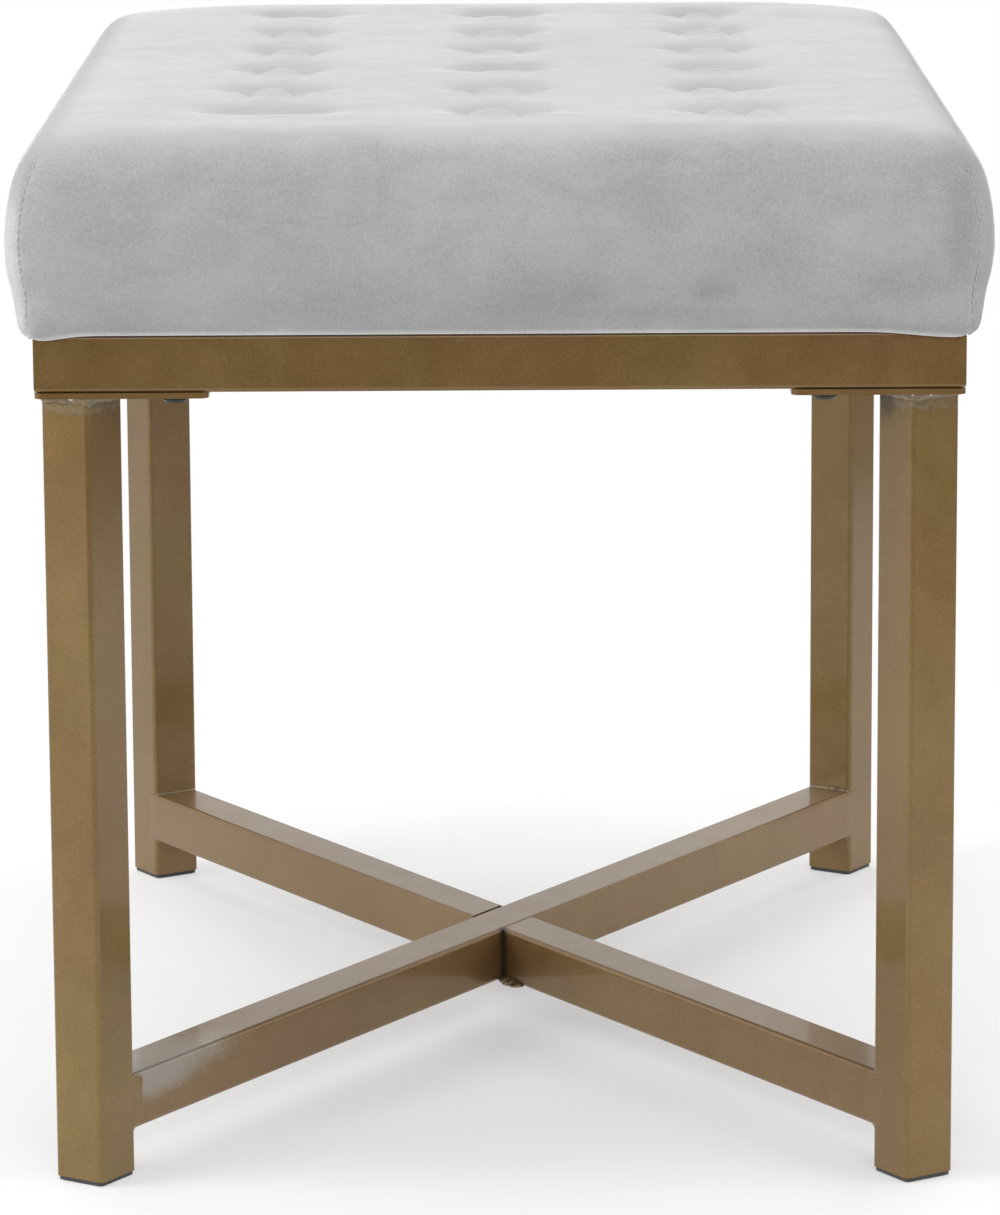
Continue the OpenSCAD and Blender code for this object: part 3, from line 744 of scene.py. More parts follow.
def swollen(piece, held, pressure, frames):
    """Runs a cloth simulation with air pressure and returns the moved points."""
    scene = bpy.context.scene
    group = piece.vertex_groups.new(name="held")
    for index, weight in enumerate(held):
        if weight > 0:
            group.add([index], float(weight), "REPLACE")
    cloth = piece.modifiers.new("swelling", "CLOTH")
    how = cloth.settings
    how.quality = 5
    how.mass = 0.25
    how.tension_stiffness = 12
    how.compression_stiffness = 12
    how.shear_stiffness = 4
    how.bending_stiffness = 0.3
    how.air_damping = 2
    how.use_pressure = True
    how.uniform_pressure_force = pressure
    how.vertex_group_mass = "held"
    how.effector_weights.gravity = 0
    cloth.collision_settings.use_collision = False
    cloth.point_cache.frame_start = 1
    cloth.point_cache.frame_end = frames
    for number in range(1, frames + 1):
        scene.frame_set(number)
    moved = coordinates(evaluated(piece).data)
    piece.modifiers.remove(cloth)
    piece.vertex_groups.remove(group)
    scene.frame_set(1)
    return moved


def subdivided(piece, levels):
    """Applies a smooth subdivision, so that what shows is real mesh."""
    smooth = piece.modifiers.new("smooth", "SUBSURF")
    smooth.levels = levels
    smooth.render_levels = levels
    done = bpy.data.meshes.new_from_object(evaluated(piece))
    piece.modifiers.remove(smooth)
    old = piece.data
    piece.data = done
    bpy.data.meshes.remove(old)


# Each tuft from the front row to the rear, left to right: (widening, its folds towards the front);
# a fold is (offset in mm, half width in mm, strength)
TUFT_STYLES = (
    (1.45, ()), (1.1, ((-3.0, 9.5, 1.0),)), (1.15, ((-4.0, 5.0, 0.75), (14.0, 4.5, 0.6))),
    (1.2, ((-1.5, 7.8, 1.15),)), (1.1, ((0.5, 8.8, 1.0),)), (1.1, ((-5.5, 8.0, 0.6),)),
    (1.05, ((0.0, 8.0, 1.0),)), (1.1, ((2.0, 8.0, 0.25),)), (1.05, ((-2.0, 9.0, 0.55),)),
    (1.0, ((1.0, 8.0, 1.0),)), (1.05, ((0.0, 7.5, 0.6),)), (1.05, ((0.0, 9.5, 0.9),)),
    (1.0, ((0.0, 8.0, 1.0),)), (1.05, ((-1.0, 8.5, 1.0),)), (1.0, ((1.0, 9.5, 1.0), (6.0, 6.0, 0.4))),
    (1.05, ((0.0, 8.0, 0.2),)), (1.0, ((-1.0, 7.0, 0.35),)), (1.0, ((0.5, 7.0, 0.9),)),
)


# How far a dimple reaches towards the front, in mm
FRONT_REACH = 7.5
# The small pit at the thread: depth and half width in mm, and how many times longer than wide
PIT_DEPTH, PIT_WIDTH, PIT_STRETCH = 3.0, 3.0, 2.2
# How high in mm the cloth stands in front of a tuft, how much more in a fold, and its dip beside one
LIP_LIFT, FOLD_LIFT, FOLD_DIP = 0.35, 1.9, 1.7
# Depths below the crown where the tufts' movement starts to fade and where it ends
TUFT_FADE, TUFT_END = 16 * MM, 26 * MM


def tuft_dip(points):
    """How far the tufts draw the top down: a dimple, with folds of cloth that stand into it."""
    settings = look_settings()
    rng = random.Random(11)
    dip = np.zeros(len(points))
    for index, (tx, ty) in enumerate(tuft_places()):
        spread, folds = TUFT_STYLES[index % len(TUFT_STYLES)]
        dx = points[:, 0] - tx
        dy = points[:, 1] - ty
        near = np.hypot(dx, dy) < 70 * MM
        x = dx[near] / MM
        y = dy[near] / MM - TUFT_BEND * x**2 / spread**2
        reach = settings.tuft_reach / MM
        along = np.exp(-np.abs(x / (1.04 * reach * spread)) ** 3.0)
        across = np.where(y > 0, reach * 1.2, FRONT_REACH)
        depth = settings.tuft_depth / MM * along * np.exp(-(y / across) ** 2)
        pit = PIT_DEPTH * np.exp(-(np.hypot(x / PIT_STRETCH, y) / PIT_WIDTH) ** 2)
        lip = smooth_step(1.0, 9.0, -y) * np.exp(-np.maximum(-y - 10, 0) / 14)
        lift = LIP_LIFT * along * lip
        for offset, half, strength in folds:
            away = np.abs(x - offset)
            lift += strength * FOLD_LIFT * np.exp(-(away / half) ** 2.6) * lip
            lift -= strength * FOLD_DIP * np.exp(-((away - half - 2.5) / 3.2) ** 2) * lip
        wobble = rng.uniform(0.9, 1.1)
        here = (0.58 * depth + pit) * wobble - lift
        dip[near] = np.where(np.abs(here) > np.abs(dip[near]), here, dip[near])
    return dip * MM * smooth_step(CROWN_Z - TUFT_END, CROWN_Z - TUFT_FADE, points[:, 2] + dip * MM)


def corner_offsets(points):
    """How far each point lies past the centre of its upright corner's rounding, along x and y."""
    past_x = np.abs(points[:, 0]) - (HALF_W + WIDEST - SIDE_CORNER)
    past_y = np.abs(points[:, 1]) - (HALF_L + WIDEST - SIDE_CORNER)
    return past_x, past_y


def corner_turn(points):
    """For each point, how far past the nearest corner's seam it is: below zero on a long side's panel."""
    dx, dy = corner_offsets(points)
    return (dy - dx) / SIDE_CORNER


# Painted highlight on a tuft's lip and painted shade in the crease behind it: their y from the tuft, and
# their half width, in mm
LIP_PLACE, CREASE_PLACE, LIP_WIDTH = -4.6, -1.4, 1.7
# How dark the crease's painted shade is beside how bright the lip's painted highlight is
CREASE_STRENGTH = 0.45


def tuft_lips(points):
    """A mask for painted light at each tuft: a highlight on the cloth that stands up in front of it, above 0,
    and shade in its crease, below 0.
    """
    settings = look_settings()
    rng = random.Random(23)
    found = np.zeros(len(points))
    for index, (tx, ty) in enumerate(tuft_places()):
        spread, _ = TUFT_STYLES[index % len(TUFT_STYLES)]
        strength = rng.uniform(0.35, 1.0)
        shift = rng.uniform(-5, 5)
        x = (points[:, 0] - tx) / MM
        y = (points[:, 1] - ty) / MM - TUFT_BEND * x**2 / spread**2
        reach = 0.8 * settings.tuft_reach / MM * spread
        along = np.exp(-np.abs((x - shift) / reach) ** 3)
        bright = np.exp(-((y - LIP_PLACE) / LIP_WIDTH) ** 2)
        dark = CREASE_STRENGTH * np.exp(-((y - CREASE_PLACE) / LIP_WIDTH) ** 2)
        found += strength * along * (bright - dark)
    return found * (points[:, 2] > CROWN_Z - 20 * MM)


# How far the top falls away at each corner, and over what reach, in mm
SUNK_CORNERS = {"front_left": (0.6, 40), "front_right": (0.9, 40),
                "rear_left": (3.6, 46), "rear_right": (3.8, 40)}


def sunk_corners(points):
    """How far the top falls away at its corners, where the foam gives."""
    low = np.zeros(len(points))
    for corner, (sx, sy) in CORNERS.items():
        depth, reach = SUNK_CORNERS[corner]
        x = points[:, 0] - sx * HALF_W
        y = points[:, 1] - sy * HALF_L
        low = np.maximum(low, depth * np.exp(-(np.hypot(x, y) / (reach * MM)) ** 2))
    return low * (1 - smooth_step(20 * MM, 60 * MM, CROWN_Z - points[:, 2])) * MM


def corner_distance(points):
    """For each point: distance round the upright corner from its seam, and whether it is on the corner."""
    dx, dy = corner_offsets(points)
    angle = np.arctan2(dy, dx) - math.pi / 4
    reach = np.hypot(dx, dy)
    return angle * reach, (dx > -6 * MM) & (dy > -6 * MM)


# The corner seams, in mm: the groove's depth and half width, and the height, place and half width of
# the swelling beside it
GROOVE_DEPTH, GROOVE_WIDTH = 1.25, 1.5
SWELLING_HEIGHT, SWELLING_PLACE, SWELLING_WIDTH = 0.5, 4.0, 2.2
# Strengths in mm of the slow waves, the shorter ones and the puckers over the bottom corners
WAVE, SHORT_WAVE, PUCKER = 0.7, 0.22, 0.45


def side_details(points, normals):
    """Movement along the normals: corner seams, slow waves and puckers above the bottom corners."""
    drop = below_crown(points)
    side = smooth_step(6.0, 14.0, drop) * (1 - smooth_step(82.0, 85.0, drop))
    across, at_corner = corner_distance(points)
    aside = np.abs(across) / MM
    swelling = SWELLING_HEIGHT * np.exp(-((aside - SWELLING_PLACE) / SWELLING_WIDTH) ** 2)
    groove = -GROOVE_DEPTH * np.exp(-(aside / GROOVE_WIDTH) ** 2) + swelling
    push = np.where(at_corner, groove, 0) * side
    waves = noise_field(points, (9, 9, 16), 3) * WAVE
    waves = waves + noise_field(points, (34, 34, 42), 5) * SHORT_WAVE
    push += waves * smooth_step(2.0, 20.0, drop) * (1 - smooth_step(80.0, 85.0, drop))
    low = smooth_step(48.0, 74.0, drop) * (1 - smooth_step(82.0, 85.0, drop))
    slant = np.sin((np.abs(across) + drop * 0.8 * MM) / (4.6 * MM)) * np.exp(-((aside - 14) / 9) ** 2)
    push += PUCKER * slant * low * (aside < 60)
    return normals * (push * MM)[:, None]


# Darker places on the front where a hand has brushed the pile, with painted shade in the tall band at the
# right front corner: (x and height in mm from the middle and the crown, half width, half height, strength)
DARKER_FRONT_PLACES = ((90, -66, 11, 6, 1.0), (36, -67, 14, 6, 0.8), (20, -72, 30, 8, 0.5), (118, -52, 24, 7, 0.35),
           (170, -66, 14, 7, 0.35), (185, -12, 18, 6, 0.6), (197, -36, 7, 28, 0.8), (70, -76, 40, 4, 0.5),
           (-80, -72, 26, 6, 0.3), (-140, -44, 30, 8, 0.2), (62, -10, 22, 4, 0.4))


def brushed_pile_and_shade(points):
    """How strongly the front is darkened at each point: brushed pile, and painted shade at the right front
    corner.
    """
    found = np.zeros(len(points))
    for x, z, half_x, half_z, strength in DARKER_FRONT_PLACES:
        dx = (points[:, 0] / MM - x) / half_x
        dz = ((points[:, 2] - CROWN_Z) / MM - z) / half_z
        found = np.maximum(found, strength * np.exp(-(dx**2 + dz**2) ** 1.5))
    return found * (points[:, 1] < -HALF_L + 10 * MM)


# How far the bottom hangs over the apron at each corner, and how far along the sides it fades, in mm
CORNER_DROOP = {"front_left": (2.2, 15), "front_right": (2.6, 27),
                "rear_left": (2.4, 22), "rear_right": (2.0, 18)}


def corner_droop(points):
    """How far the bottom of the cushion hangs over the apron at the corners."""
    drop = below_crown(points)
    dx = HALF_W - np.abs(points[:, 0])
    dy = HALF_L - np.abs(points[:, 1])
    outside = smooth_step(0.1 * MM, 1.2 * MM, np.maximum(-dx, -dy))
    away = np.hypot(np.maximum(dx, 0), np.maximum(dy, 0)) / MM
    low = np.zeros(len(points))
    for corner, (sx, sy) in CORNERS.items():
        deep, reach = CORNER_DROOP[corner]
        low = np.where(in_corner(points, sx, sy), deep * np.exp(-(away / reach) ** 2.6), low)
    return low * outside * smooth_step(66.0, 83.0, drop) * MM


# Small creases on the front: their line as (x, z) places from the middle and the crown, their depth and
# half width, all in mm
FRONT_CREASES = (
    (((-40, -9.5), (-33, -11.5), (-24, -12.2), (-17, -11.8)), 0.35, 1.6),
    (((-6, -10.5), (2, -8.4), (8, -5.6), (13, -3.4)), 0.4, 1.5),
    (((150, -4.2), (168, -5.2), (184, -7.8), (194, -11.5)), 0.55, 1.8),
)


def front_creases(points):
    """Depth of the small creases on the front face, at each point."""
    front = smooth_step(HALF_L - 40 * MM, HALF_L - 12 * MM, -points[:, 1])
    place = np.column_stack([points[:, 0], points[:, 2] - CROWN_Z]) / MM
    depth = np.zeros(len(points))
    for line, deep, width in FRONT_CREASES:
        stops = np.array(line, float)
        nearest = np.full(len(points), 1e9)
        share = np.zeros(len(points))
        for k, (a, b) in enumerate(zip(stops[:-1], stops[1:])):
            step = b - a
            t = np.clip(((place - a) @ step) / (step @ step), 0, 1)
            away = np.linalg.norm(place - a - t[:, None] * step, axis=1)
            closer = away < nearest
            nearest = np.where(closer, away, nearest)
            share = np.where(closer, (k + t) / (len(stops) - 1), share)
        fade = np.sin(np.pi * np.clip(share, 0.02, 0.98)) ** 0.6
        depth += deep * fade * np.exp(-(nearest / width) ** 2)
    return depth * front * MM


def add_lining(piece, rim):
    """Closes the cover: in under the board, up its sides and over the foam."""
    made = bmesh.new()
    made.from_mesh(piece.data)
    edges = [e for e in made.edges if e.is_boundary]
    gap, slack = 0.4 * MM, 0.2 * MM
    board_x, board_y = BOARD_HIGH.x + gap, BOARD_HIGH.y + gap
    foam_x, foam_y = FOAM_HIGH.x + gap, FOAM_HIGH.y + gap
    levels = (
        (rim[0], rim[1], 6 * MM, BOARD_LOW.z - slack),
        (board_x, board_y, BOARD_CORNER, BOARD_LOW.z - slack),
        (board_x, board_y, BOARD_CORNER, BOARD_HIGH.z),
        (foam_x, foam_y, FOAM_CORNER, BOARD_HIGH.z),
        (foam_x, foam_y, FOAM_CORNER, FOAM_HIGH.z + gap),
    )
    for half_x, half_y, radius, z in levels:
        grown = bmesh.ops.extrude_edge_only(made, edges=edges)["geom"]
        edges = [g for g in grown if isinstance(g, bmesh.types.BMEdge) and g.is_boundary]
        ends = list({v for e in edges for v in e.verts})
        wide = np.array([v.co.x / rim[0] * half_x for v in ends])
        long = np.array([v.co.y / rim[1] * half_y for v in ends])
        for v, x, y in zip(ends, *rounded(wide, long, half_x, half_y, radius)):
            v.co = (x, y, z)
        rim = (half_x, half_y)
    bmesh.ops.contextual_create(made, geom=edges)
    bmesh.ops.recalc_face_normals(made, faces=made.faces)
    made.to_mesh(piece.data)
    made.free()


# Weld beads

# Distance between the dabs of a weld, and how far its back sinks into the corner
DAB_PITCH, DAB_SINK = 2.1 * MM, 0.25 * MM


def ripple_bead(path, outward, downward, sizes, seed, closed=False):
    """Points and faces of a fillet weld: a ripple for each dab of metal, uneven like hand work.

    Outward and downward are the two directions away from the corner; sizes are the reaches along them.
    """
    rng = random.Random(seed)
    phase = rng.uniform(0, 1)
    steps = 9
    points = []
    travelled = 0.0
    for k, spot in enumerate(path):
        if k:
            travelled += (Vector(spot) - Vector(path[k - 1])).length
        lump = noise.noise(Vector((travelled * 190, seed * 1.7, 0.3)))
        for j in range(steps):
            turn = math.pi / 2 * j / (steps - 1)
            ripple = abs(math.sin(math.pi * (travelled / DAB_PITCH + phase - 0.3 * math.sin(turn * 2))))
            grit = noise.noise(Vector((travelled * 900, turn * 3, seed)))
            swell = (0.85 + 0.06 * ripple + 0.36 * lump + 0.06 * grit) * (1 - 0.36 * math.sin(2 * turn))
            out_size, down_size = sizes[k] if isinstance(sizes, list) else sizes
            move = Vector(outward[k]) * (math.cos(turn) * out_size * swell)
            move += Vector(downward[k]) * (math.sin(turn) * down_size * swell)
            points.append(Vector(spot) + move)
        points.append(Vector(spot) - (Vector(outward[k]) + Vector(downward[k])) * DAB_SINK)
    return points, tube_faces(len(path), steps + 1, closed)


# Sizes in mm of the welds above and below each stretcher's end
END_WELDS = {"front_left": (2.0, 3.2), "front_right": (2.2, 4.0),
             "rear_left": (1.3, 1.6), "rear_right": (1.7, 1.8)}


def leg_axes(corner):
    """The centre, the diagonal direction and the sideways direction of a leg."""
    low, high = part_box("leg_" + corner)
    centre = (low + high) / 2
    angle = math.atan2(centre.y, centre.x)
    ahead = Vector((math.cos(angle), math.sin(angle), 0))
    aside = Vector((-math.sin(angle), math.cos(angle), 0))
    return centre, ahead, aside


def round_square(half, radius, step):
    """A square with round corners as (place, outward) pairs in its own plane."""
    found = []
    straight = half - radius
    for side in range(4):
        turn = Matrix.Rotation(side * math.pi / 2, 2)
        count = max(2, round(2 * straight / step))
        for k in range(count):
            s = -straight + 2 * straight * k / count
            found.append((turn @ Vector((half, s)), turn @ Vector((1, 0))))
        for k in range(5):
            a = math.pi / 2 * k / 5
            direction = Vector((math.cos(a), math.sin(a)))
            found.append((turn @ (Vector((straight, straight)) + direction * radius), turn @ direction))
    return found


def leg_top_bead(corner, seed):
    """The weld round a leg's top, trimmed to its plate."""
    settings = look_settings()
    centre, ahead, aside = leg_axes(corner)
    plate_low, plate_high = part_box("leg_plate_" + corner)
    path, outward, downward = [], [], []
    for place, out in round_square(TUBE / 2, TUBE_CORNER, 0.55 * MM):
        spot = Vector((centre.x, centre.y, plate_low.z)) + ahead * place.x + aside * place.y
        path.append(spot)
        outward.append(ahead * out.x + aside * out.y)
        downward.append(Vector((0, 0, -1)))
    sizes = (settings.weld_size, 1.7 * settings.weld_size)
    points, faces = ripple_bead(path, outward, downward, sizes, seed, closed=True)
    margin = 0.15 * MM
    for p in points:
        p.x = min(max(p.x, plate_low.x + margin), plate_high.x - margin)
        p.y = min(max(p.y, plate_low.y + margin), plate_high.y - margin)
    return points, faces


def tube_rounding(away):
    """How far a tube's face falls back, this far past the straight part of the face."""
    reach = np.clip(away, 0, TUBE_CORNER)
    return TUBE_CORNER - math.sqrt(TUBE_CORNER**2 - reach**2)


def stretcher_beads(corner, seed):
    """The welds above and below a stretcher's end, against its leg."""
    centre, ahead, aside = leg_axes(corner)
    low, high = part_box("stretcher_through")
    reach = math.hypot(centre.x, centre.y) - TUBE / 2
    above, below = END_WELDS[corner]
    parts = []
    for side, z, size in ((1, high.z, above), (-1, low.z, below)):
        half = TUBE / 2 - 0.3 * MM
        count = 56
        path, sizes = [], []
        for k in range(count + 1):
            s = -half + 2 * half * k / count
            back = tube_rounding(abs(s) - (TUBE / 2 - TUBE_CORNER))
            path.append(ahead * (reach + back) + aside * s + Vector((0, 0, z - side * back)))
            fade = 1 - 0.75 * float(smooth_step(TUBE / 2 - 2.4 * MM, TUBE / 2, abs(s)))
            sizes.append((size * MM * fade, size * MM * fade))
        parts.append(ripple_bead(path, [-ahead] * len(path), [Vector((0, 0, side))] * len(path),
                                 sizes, seed + side))
    return joined(parts)


# Section of a ground weld in mm: (along the stretcher from the leg's face, out past the tube's side)
FILL_SECTION = ((-8.0, -0.05), (-5.5, 0.01), (-3.0, 0.05), (-1.0, 0.07), (0.6, 0.08), (2.2, 0.07),
                (4.5, 0.04), (6.5, 0.0), (8.5, -0.05), (5.0, -0.9), (0.0, -1.1), (-5.0, -0.9))


def flush_fill(corner, side, seed):
    """Weld ground flush beside a stretcher's end, over the groove at the leg's rounded corner."""
    centre, ahead, aside = leg_axes(corner)
    low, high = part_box("stretcher_through")
    reach = math.hypot(centre.x, centre.y) - TUBE / 2
    rows = 30
    points = []
    for k in range(rows + 1):
        z = low.z + 0.25 * MM + (TUBE - 0.5 * MM) * k / rows
        ahead_of_flat = abs(z - (low.z + high.z) / 2) - (TUBE / 2 - TUBE_CORNER)
        fall = tube_rounding(ahead_of_flat)
        for along, out in FILL_SECTION:
            on_tube = 1 - float(smooth_step(-0.5, 2.5, along))
            wave = 0.02 * noise.noise(Vector((z * 300, along * 0.4, seed)))
            off = TUBE / 2 + (out + wave) * MM - fall * on_tube
            spot = ahead * (reach + along * MM) + aside * (side * off)
            points.append(spot + Vector((0, 0, z)))
    return points, tube_faces(rows + 1, len(FILL_SECTION))


def weld_blob(centre, radii, seed):
    """A lump of weld metal: a ball that is stretched and dented."""
    rows, ring = 14, 24
    points = [Vector(centre) + Vector((0, 0, radii[2]))]
    for k in range(1, rows):
        lean = math.pi * k / rows
        for j in range(ring):
            turn = 2 * math.pi * j / ring
            way = Vector((math.sin(lean) * math.cos(turn), math.sin(lean) * math.sin(turn), math.cos(lean)))
            lump = 1 + 0.16 * noise.noise(way * 1.9 + Vector((seed, 0, 0)))
            points.append(Vector(centre) + Vector([w * r * lump for w, r in zip(way, radii)]))
    points.append(Vector(centre) - Vector((0, 0, radii[2])))
    last = len(points) - 1
    faces = []
    for j in range(ring):
        n = (j + 1) % ring
        faces.append((0, 1 + j, 1 + n))
        faces.append((last, last - ring + n, last - ring + j))
        for k in range(rows - 2):
            a = 1 + k * ring
            faces.append((a + j, a + ring + j, a + ring + n, a + n))
    return points, faces


def crossing_joint(side):
    """Middle and outer corner, seen from above, of the joint between a half stretcher and the through one."""
    _, ahead, aside = leg_axes("rear_right")
    meeting = math.pi - 2 * math.atan2(ahead.y, ahead.x)
    middle = ahead * (side * TUBE / 2 / math.tan(meeting)) + aside * (side * TUBE / 2)
    return middle, middle + ahead * (side * TUBE / 2 / math.sin(meeting))


# Half width of the blobs under the crossing, and the share of the joint's length that they cover
CROSSING_BLOB, CROSSING_SHARE = 3.2 * MM, 0.86
# Dabs of metal past the crossing's corner: (distance from it, half width, depth) in mm
CROSSING_DABS = ((1.0, 3.0, 1.6), (4.6, 3.8, 2.3), (8.6, 4.0, 2.1), (12.6, 3.6, 1.2))


def crossing_bead(side):
    """Weld metal under the crossing, along a half stretcher's end and out past the joint's corner."""
    low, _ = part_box("crossing_welds")
    tube_low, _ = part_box("stretcher_through")
    _, ahead, _ = leg_axes("rear_right")
    middle, corner = crossing_joint(side)
    depth = tube_low.z - low.z
    under = Vector((0, 0, tube_low.z))
    parts = []
    for k in range(7):
        place = under + middle.lerp(corner, (k / 3 - 1) * CROSSING_SHARE)
        size = 1 + 0.16 * noise.noise(Vector((k * 1.3, side * 2.0, 0.4)))
        wide = CROSSING_BLOB * size
        parts.append(weld_blob(place, (wide, wide, 0.8 * depth * size), 5 * side + k))
    outward = Vector((ahead.x, -ahead.y, 0)) * -side
    for reach, width, deep in CROSSING_DABS:
        place = under + corner + outward * (reach * MM)
        parts.append(weld_blob(place, (width * MM, width * MM, deep * MM), side + reach))
    return joined(parts)


def leg_spatter(corner):
    """A few bare balls of spatter beside the weld on a leg's top."""
    rng = random.Random(corner)
    centre, _, _ = leg_axes(corner)
    sx, sy = CORNERS[corner]
    plate_low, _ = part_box("leg_plate_" + corner)
    parts = []
    for k in range(3):
        x = centre.x + rng.uniform(-6, 4) * MM * sx
        y = centre.y + sy * rng.uniform(17.6, 18.6) * MM
        size = rng.uniform(0.35, 0.8) * MM
        parts.append(weld_blob(Vector((x, y, plate_low.z - 0.2 * MM)), (size * 1.3, size, size), k))
    return joined(parts)


# Settings

def colour_setting(name, description, default):
    """A colour in the bench's settings."""
    return FloatVectorProperty(name=name, description=description, subtype="COLOR", size=3,
                               min=0, max=1, default=default)


def length_setting(name, description, millimetres):
    """A length in the bench's settings."""
    return FloatProperty(name=name, description=description, unit="LENGTH", default=millimetres * MM)


class BenchSettings(bpy.types.PropertyGroup):
    """Sizes and colours of the bench's finish."""

    velvet_colour: colour_setting("Velvet", "Colour of the velvet pile", (0.38, 0.38, 0.38))
    velvet_sheen: FloatProperty(
        name="Velvet sheen", description="How much the pile brightens at a low angle",
        min=0, max=1, default=1.0, subtype="FACTOR")
    coat_colour: colour_setting("Powder coat", "Colour of the coated steel", (0.175, 0.098, 0.030))
    coat_bright: colour_setting("Coat flakes", "Colour of the bright flakes in the coat", (0.40, 0.27, 0.12))
    tuft_columns: IntProperty(
        name="Tuft columns", description="Tufts across the short side", min=1, max=3, default=3)
    tuft_rows: IntProperty(
        name="Tuft rows", description="Tufts along the long side", min=2, max=6, default=6)
    tuft_pitch_x: length_setting("Pitch across", "Distance between tufts across the short side", 101)
    tuft_pitch_y: length_setting("Pitch along", "Distance between tufts along the long side", 86)
    tuft_depth: length_setting("Tuft depth", "How deep each tuft is drawn", 8)
    tuft_reach: length_setting("Tuft reach", "Distance over which a dimple fades out", 17)
    tuft_grid: length_setting("Tuft mesh step", "Mesh step near the tufts, before subdivision", 3.4)
    swell_room: length_setting("Swell room", "How much smaller the cover starts than its sewn size", 4)
    swell_cap: length_setting("Swell cap", "The most that the air pressure may move the cloth", 8)
    pressure: FloatProperty(
        name="Pressure", description="Air pressure in the cover while it is shaped", default=4.0)
    weld_size: length_setting("Weld size", "Reach of a weld bead from its corner", 2.4)
    lamp_level: FloatProperty(
        name="Lamp level", description="Brightness of the studio lamps", default=1.0)
    sky_level: FloatProperty(
        name="Room level", description="Brightness of the light from all round", default=0.55)


# Operators

class BENCH_OT_steel_base(bpy.types.Operator):
    """Gives the tubes, plates, bolts and foot caps their finish"""

    bl_idname = "bench.steel_base"
    bl_label = "Finish the Steel Base"

    def execute(self, context):
        # Painted shade: the apron darkens over its top 2.4 mm, under the cushion's lip
        coat = powder_coat("satin gold powder coat",
                           painted_shade=near_height(APRON_TOP - 2.4 * MM, APRON_TOP - 0.2 * MM, 0.6))
        plate_low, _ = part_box("leg_plate_front_left")
        # Painted shadow of the plate on the front right leg's left face, just below the plate
        foot, ahead, aside = leg_axes("front_right")
        plate_shadow_spot = foot - aside * (TUBE / 2) - ahead * (6 * MM)
        plate_shadow_spot.z = plate_low.z - 5 * MM
        legs = powder_coat("powder coat on the legs", LEG_TINT,
                           marks=near_height(plate_low.z - 11 * MM, plate_low.z - 3 * MM),
                           painted_shade=near_point(plate_shadow_spot, 3 * MM, 12 * MM, 0.55, 0.8))
        centre, _, _ = leg_axes("rear_right")
        # Painted shade in the upright inner corners where the half stretchers meet the through one
        _, corner = crossing_joint(1)
        # Painted reflection: a pale grey patch on the stretchers near the front left leg, mostly on their
        # tops
        bars = powder_coat("powder coat on the stretchers", BAR_TINT,
                           marks=near_upright(centre.x, centre.y, 13 * MM, 28 * MM, 0.6),
                           painted_reflection=near_point((-centre.x, -centre.y, 46 * MM), 62 * MM, 135 * MM, 0.8, 6.0),
                           painted_shade=near_upright(corner.x, corner.y, 0.2 * MM, 5 * MM, 0.75), gloss=0.4)
        bolt = grained("blackened bolt steel", (0.075, 0.085, 0.078), (0.03, 0.035, 0.032), 900.0,
                       (0.34, 0.5), metallic=0.6)
        zinc = grained("zinc plated steel", (0.62, 0.63, 0.65), (0.44, 0.45, 0.47), 500.0,
                       (0.28, 0.42), metallic=1.0)
        plastic = grained("moulded foot plastic", (0.055, 0.056, 0.056), (0.03, 0.031, 0.031), 700.0,
                          (0.5, 0.66), depth=0.08 * MM)
        plan = (
            (coat, ("apron_", "leg_plate_front", "leg_plate_rear", "seat_tabs")),
            (bars, ("stretcher_through", "stretcher_half")),
            (legs, ("leg_front", "leg_rear")),
            (bolt, ("plate_bolts",)),
            (zinc, ("weld_nuts", "seat_screws", "cover_staples", "dust_cover_staples", "tuft_washers")),
            (plastic, ("foot_cap_",)),
        )
        for material, starts in plan:
            for name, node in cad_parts.items():
                if name.startswith(starts):
                    finish_node(node, material)
        return {"FINISHED"}


class BENCH_OT_seat_parts(bpy.types.Operator):
    """Finishes the board and tuft cords, and makes the foam pad"""

    bl_idname = "bench.seat_parts"
    bl_label = "Finish the Seat Parts"

    def execute(self, context):
        finish_node(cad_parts["seat_board"], plywood_material())
        cord = cloth_material("waxed tuft cord", (0.72, 0.69, 0.60), 0.9 * MM, 0.2 * MM, 0.75)
        finish_node(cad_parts["tuft_cords"], cord)
        self.make_foam()
        return {"FINISHED"}

    def make_foam(self):
        """A foam block with eased edges, pressed in at each tuft."""
        half_x, half_y = FOAM_HIGH.x, FOAM_HIGH.y
        nx, ny = 61, 91
        grid_x, grid_y = np.meshgrid(np.linspace(-half_x, half_x, nx), np.linspace(-half_y, half_y, ny))
        x, y = rounded(grid_x.ravel(), grid_y.ravel(), half_x, half_y, FOAM_CORNER)
        top = FOAM_HIGH.z - dimples(x, y, 3 * MM, 14 * MM)
        edge = np.minimum(half_x - np.abs(grid_x.ravel()), half_y - np.abs(grid_y.ravel()))
        top -= 3 * MM * (1 - smooth_step(0, 8 * MM, edge))
        points = slab_points(x, y, top, np.full(len(x), FOAM_LOW.z))
        piece = new_piece("foam_block", points, slab_faces(nx, ny), foam_material(), "foam")
        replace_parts(piece, "foam_pad")


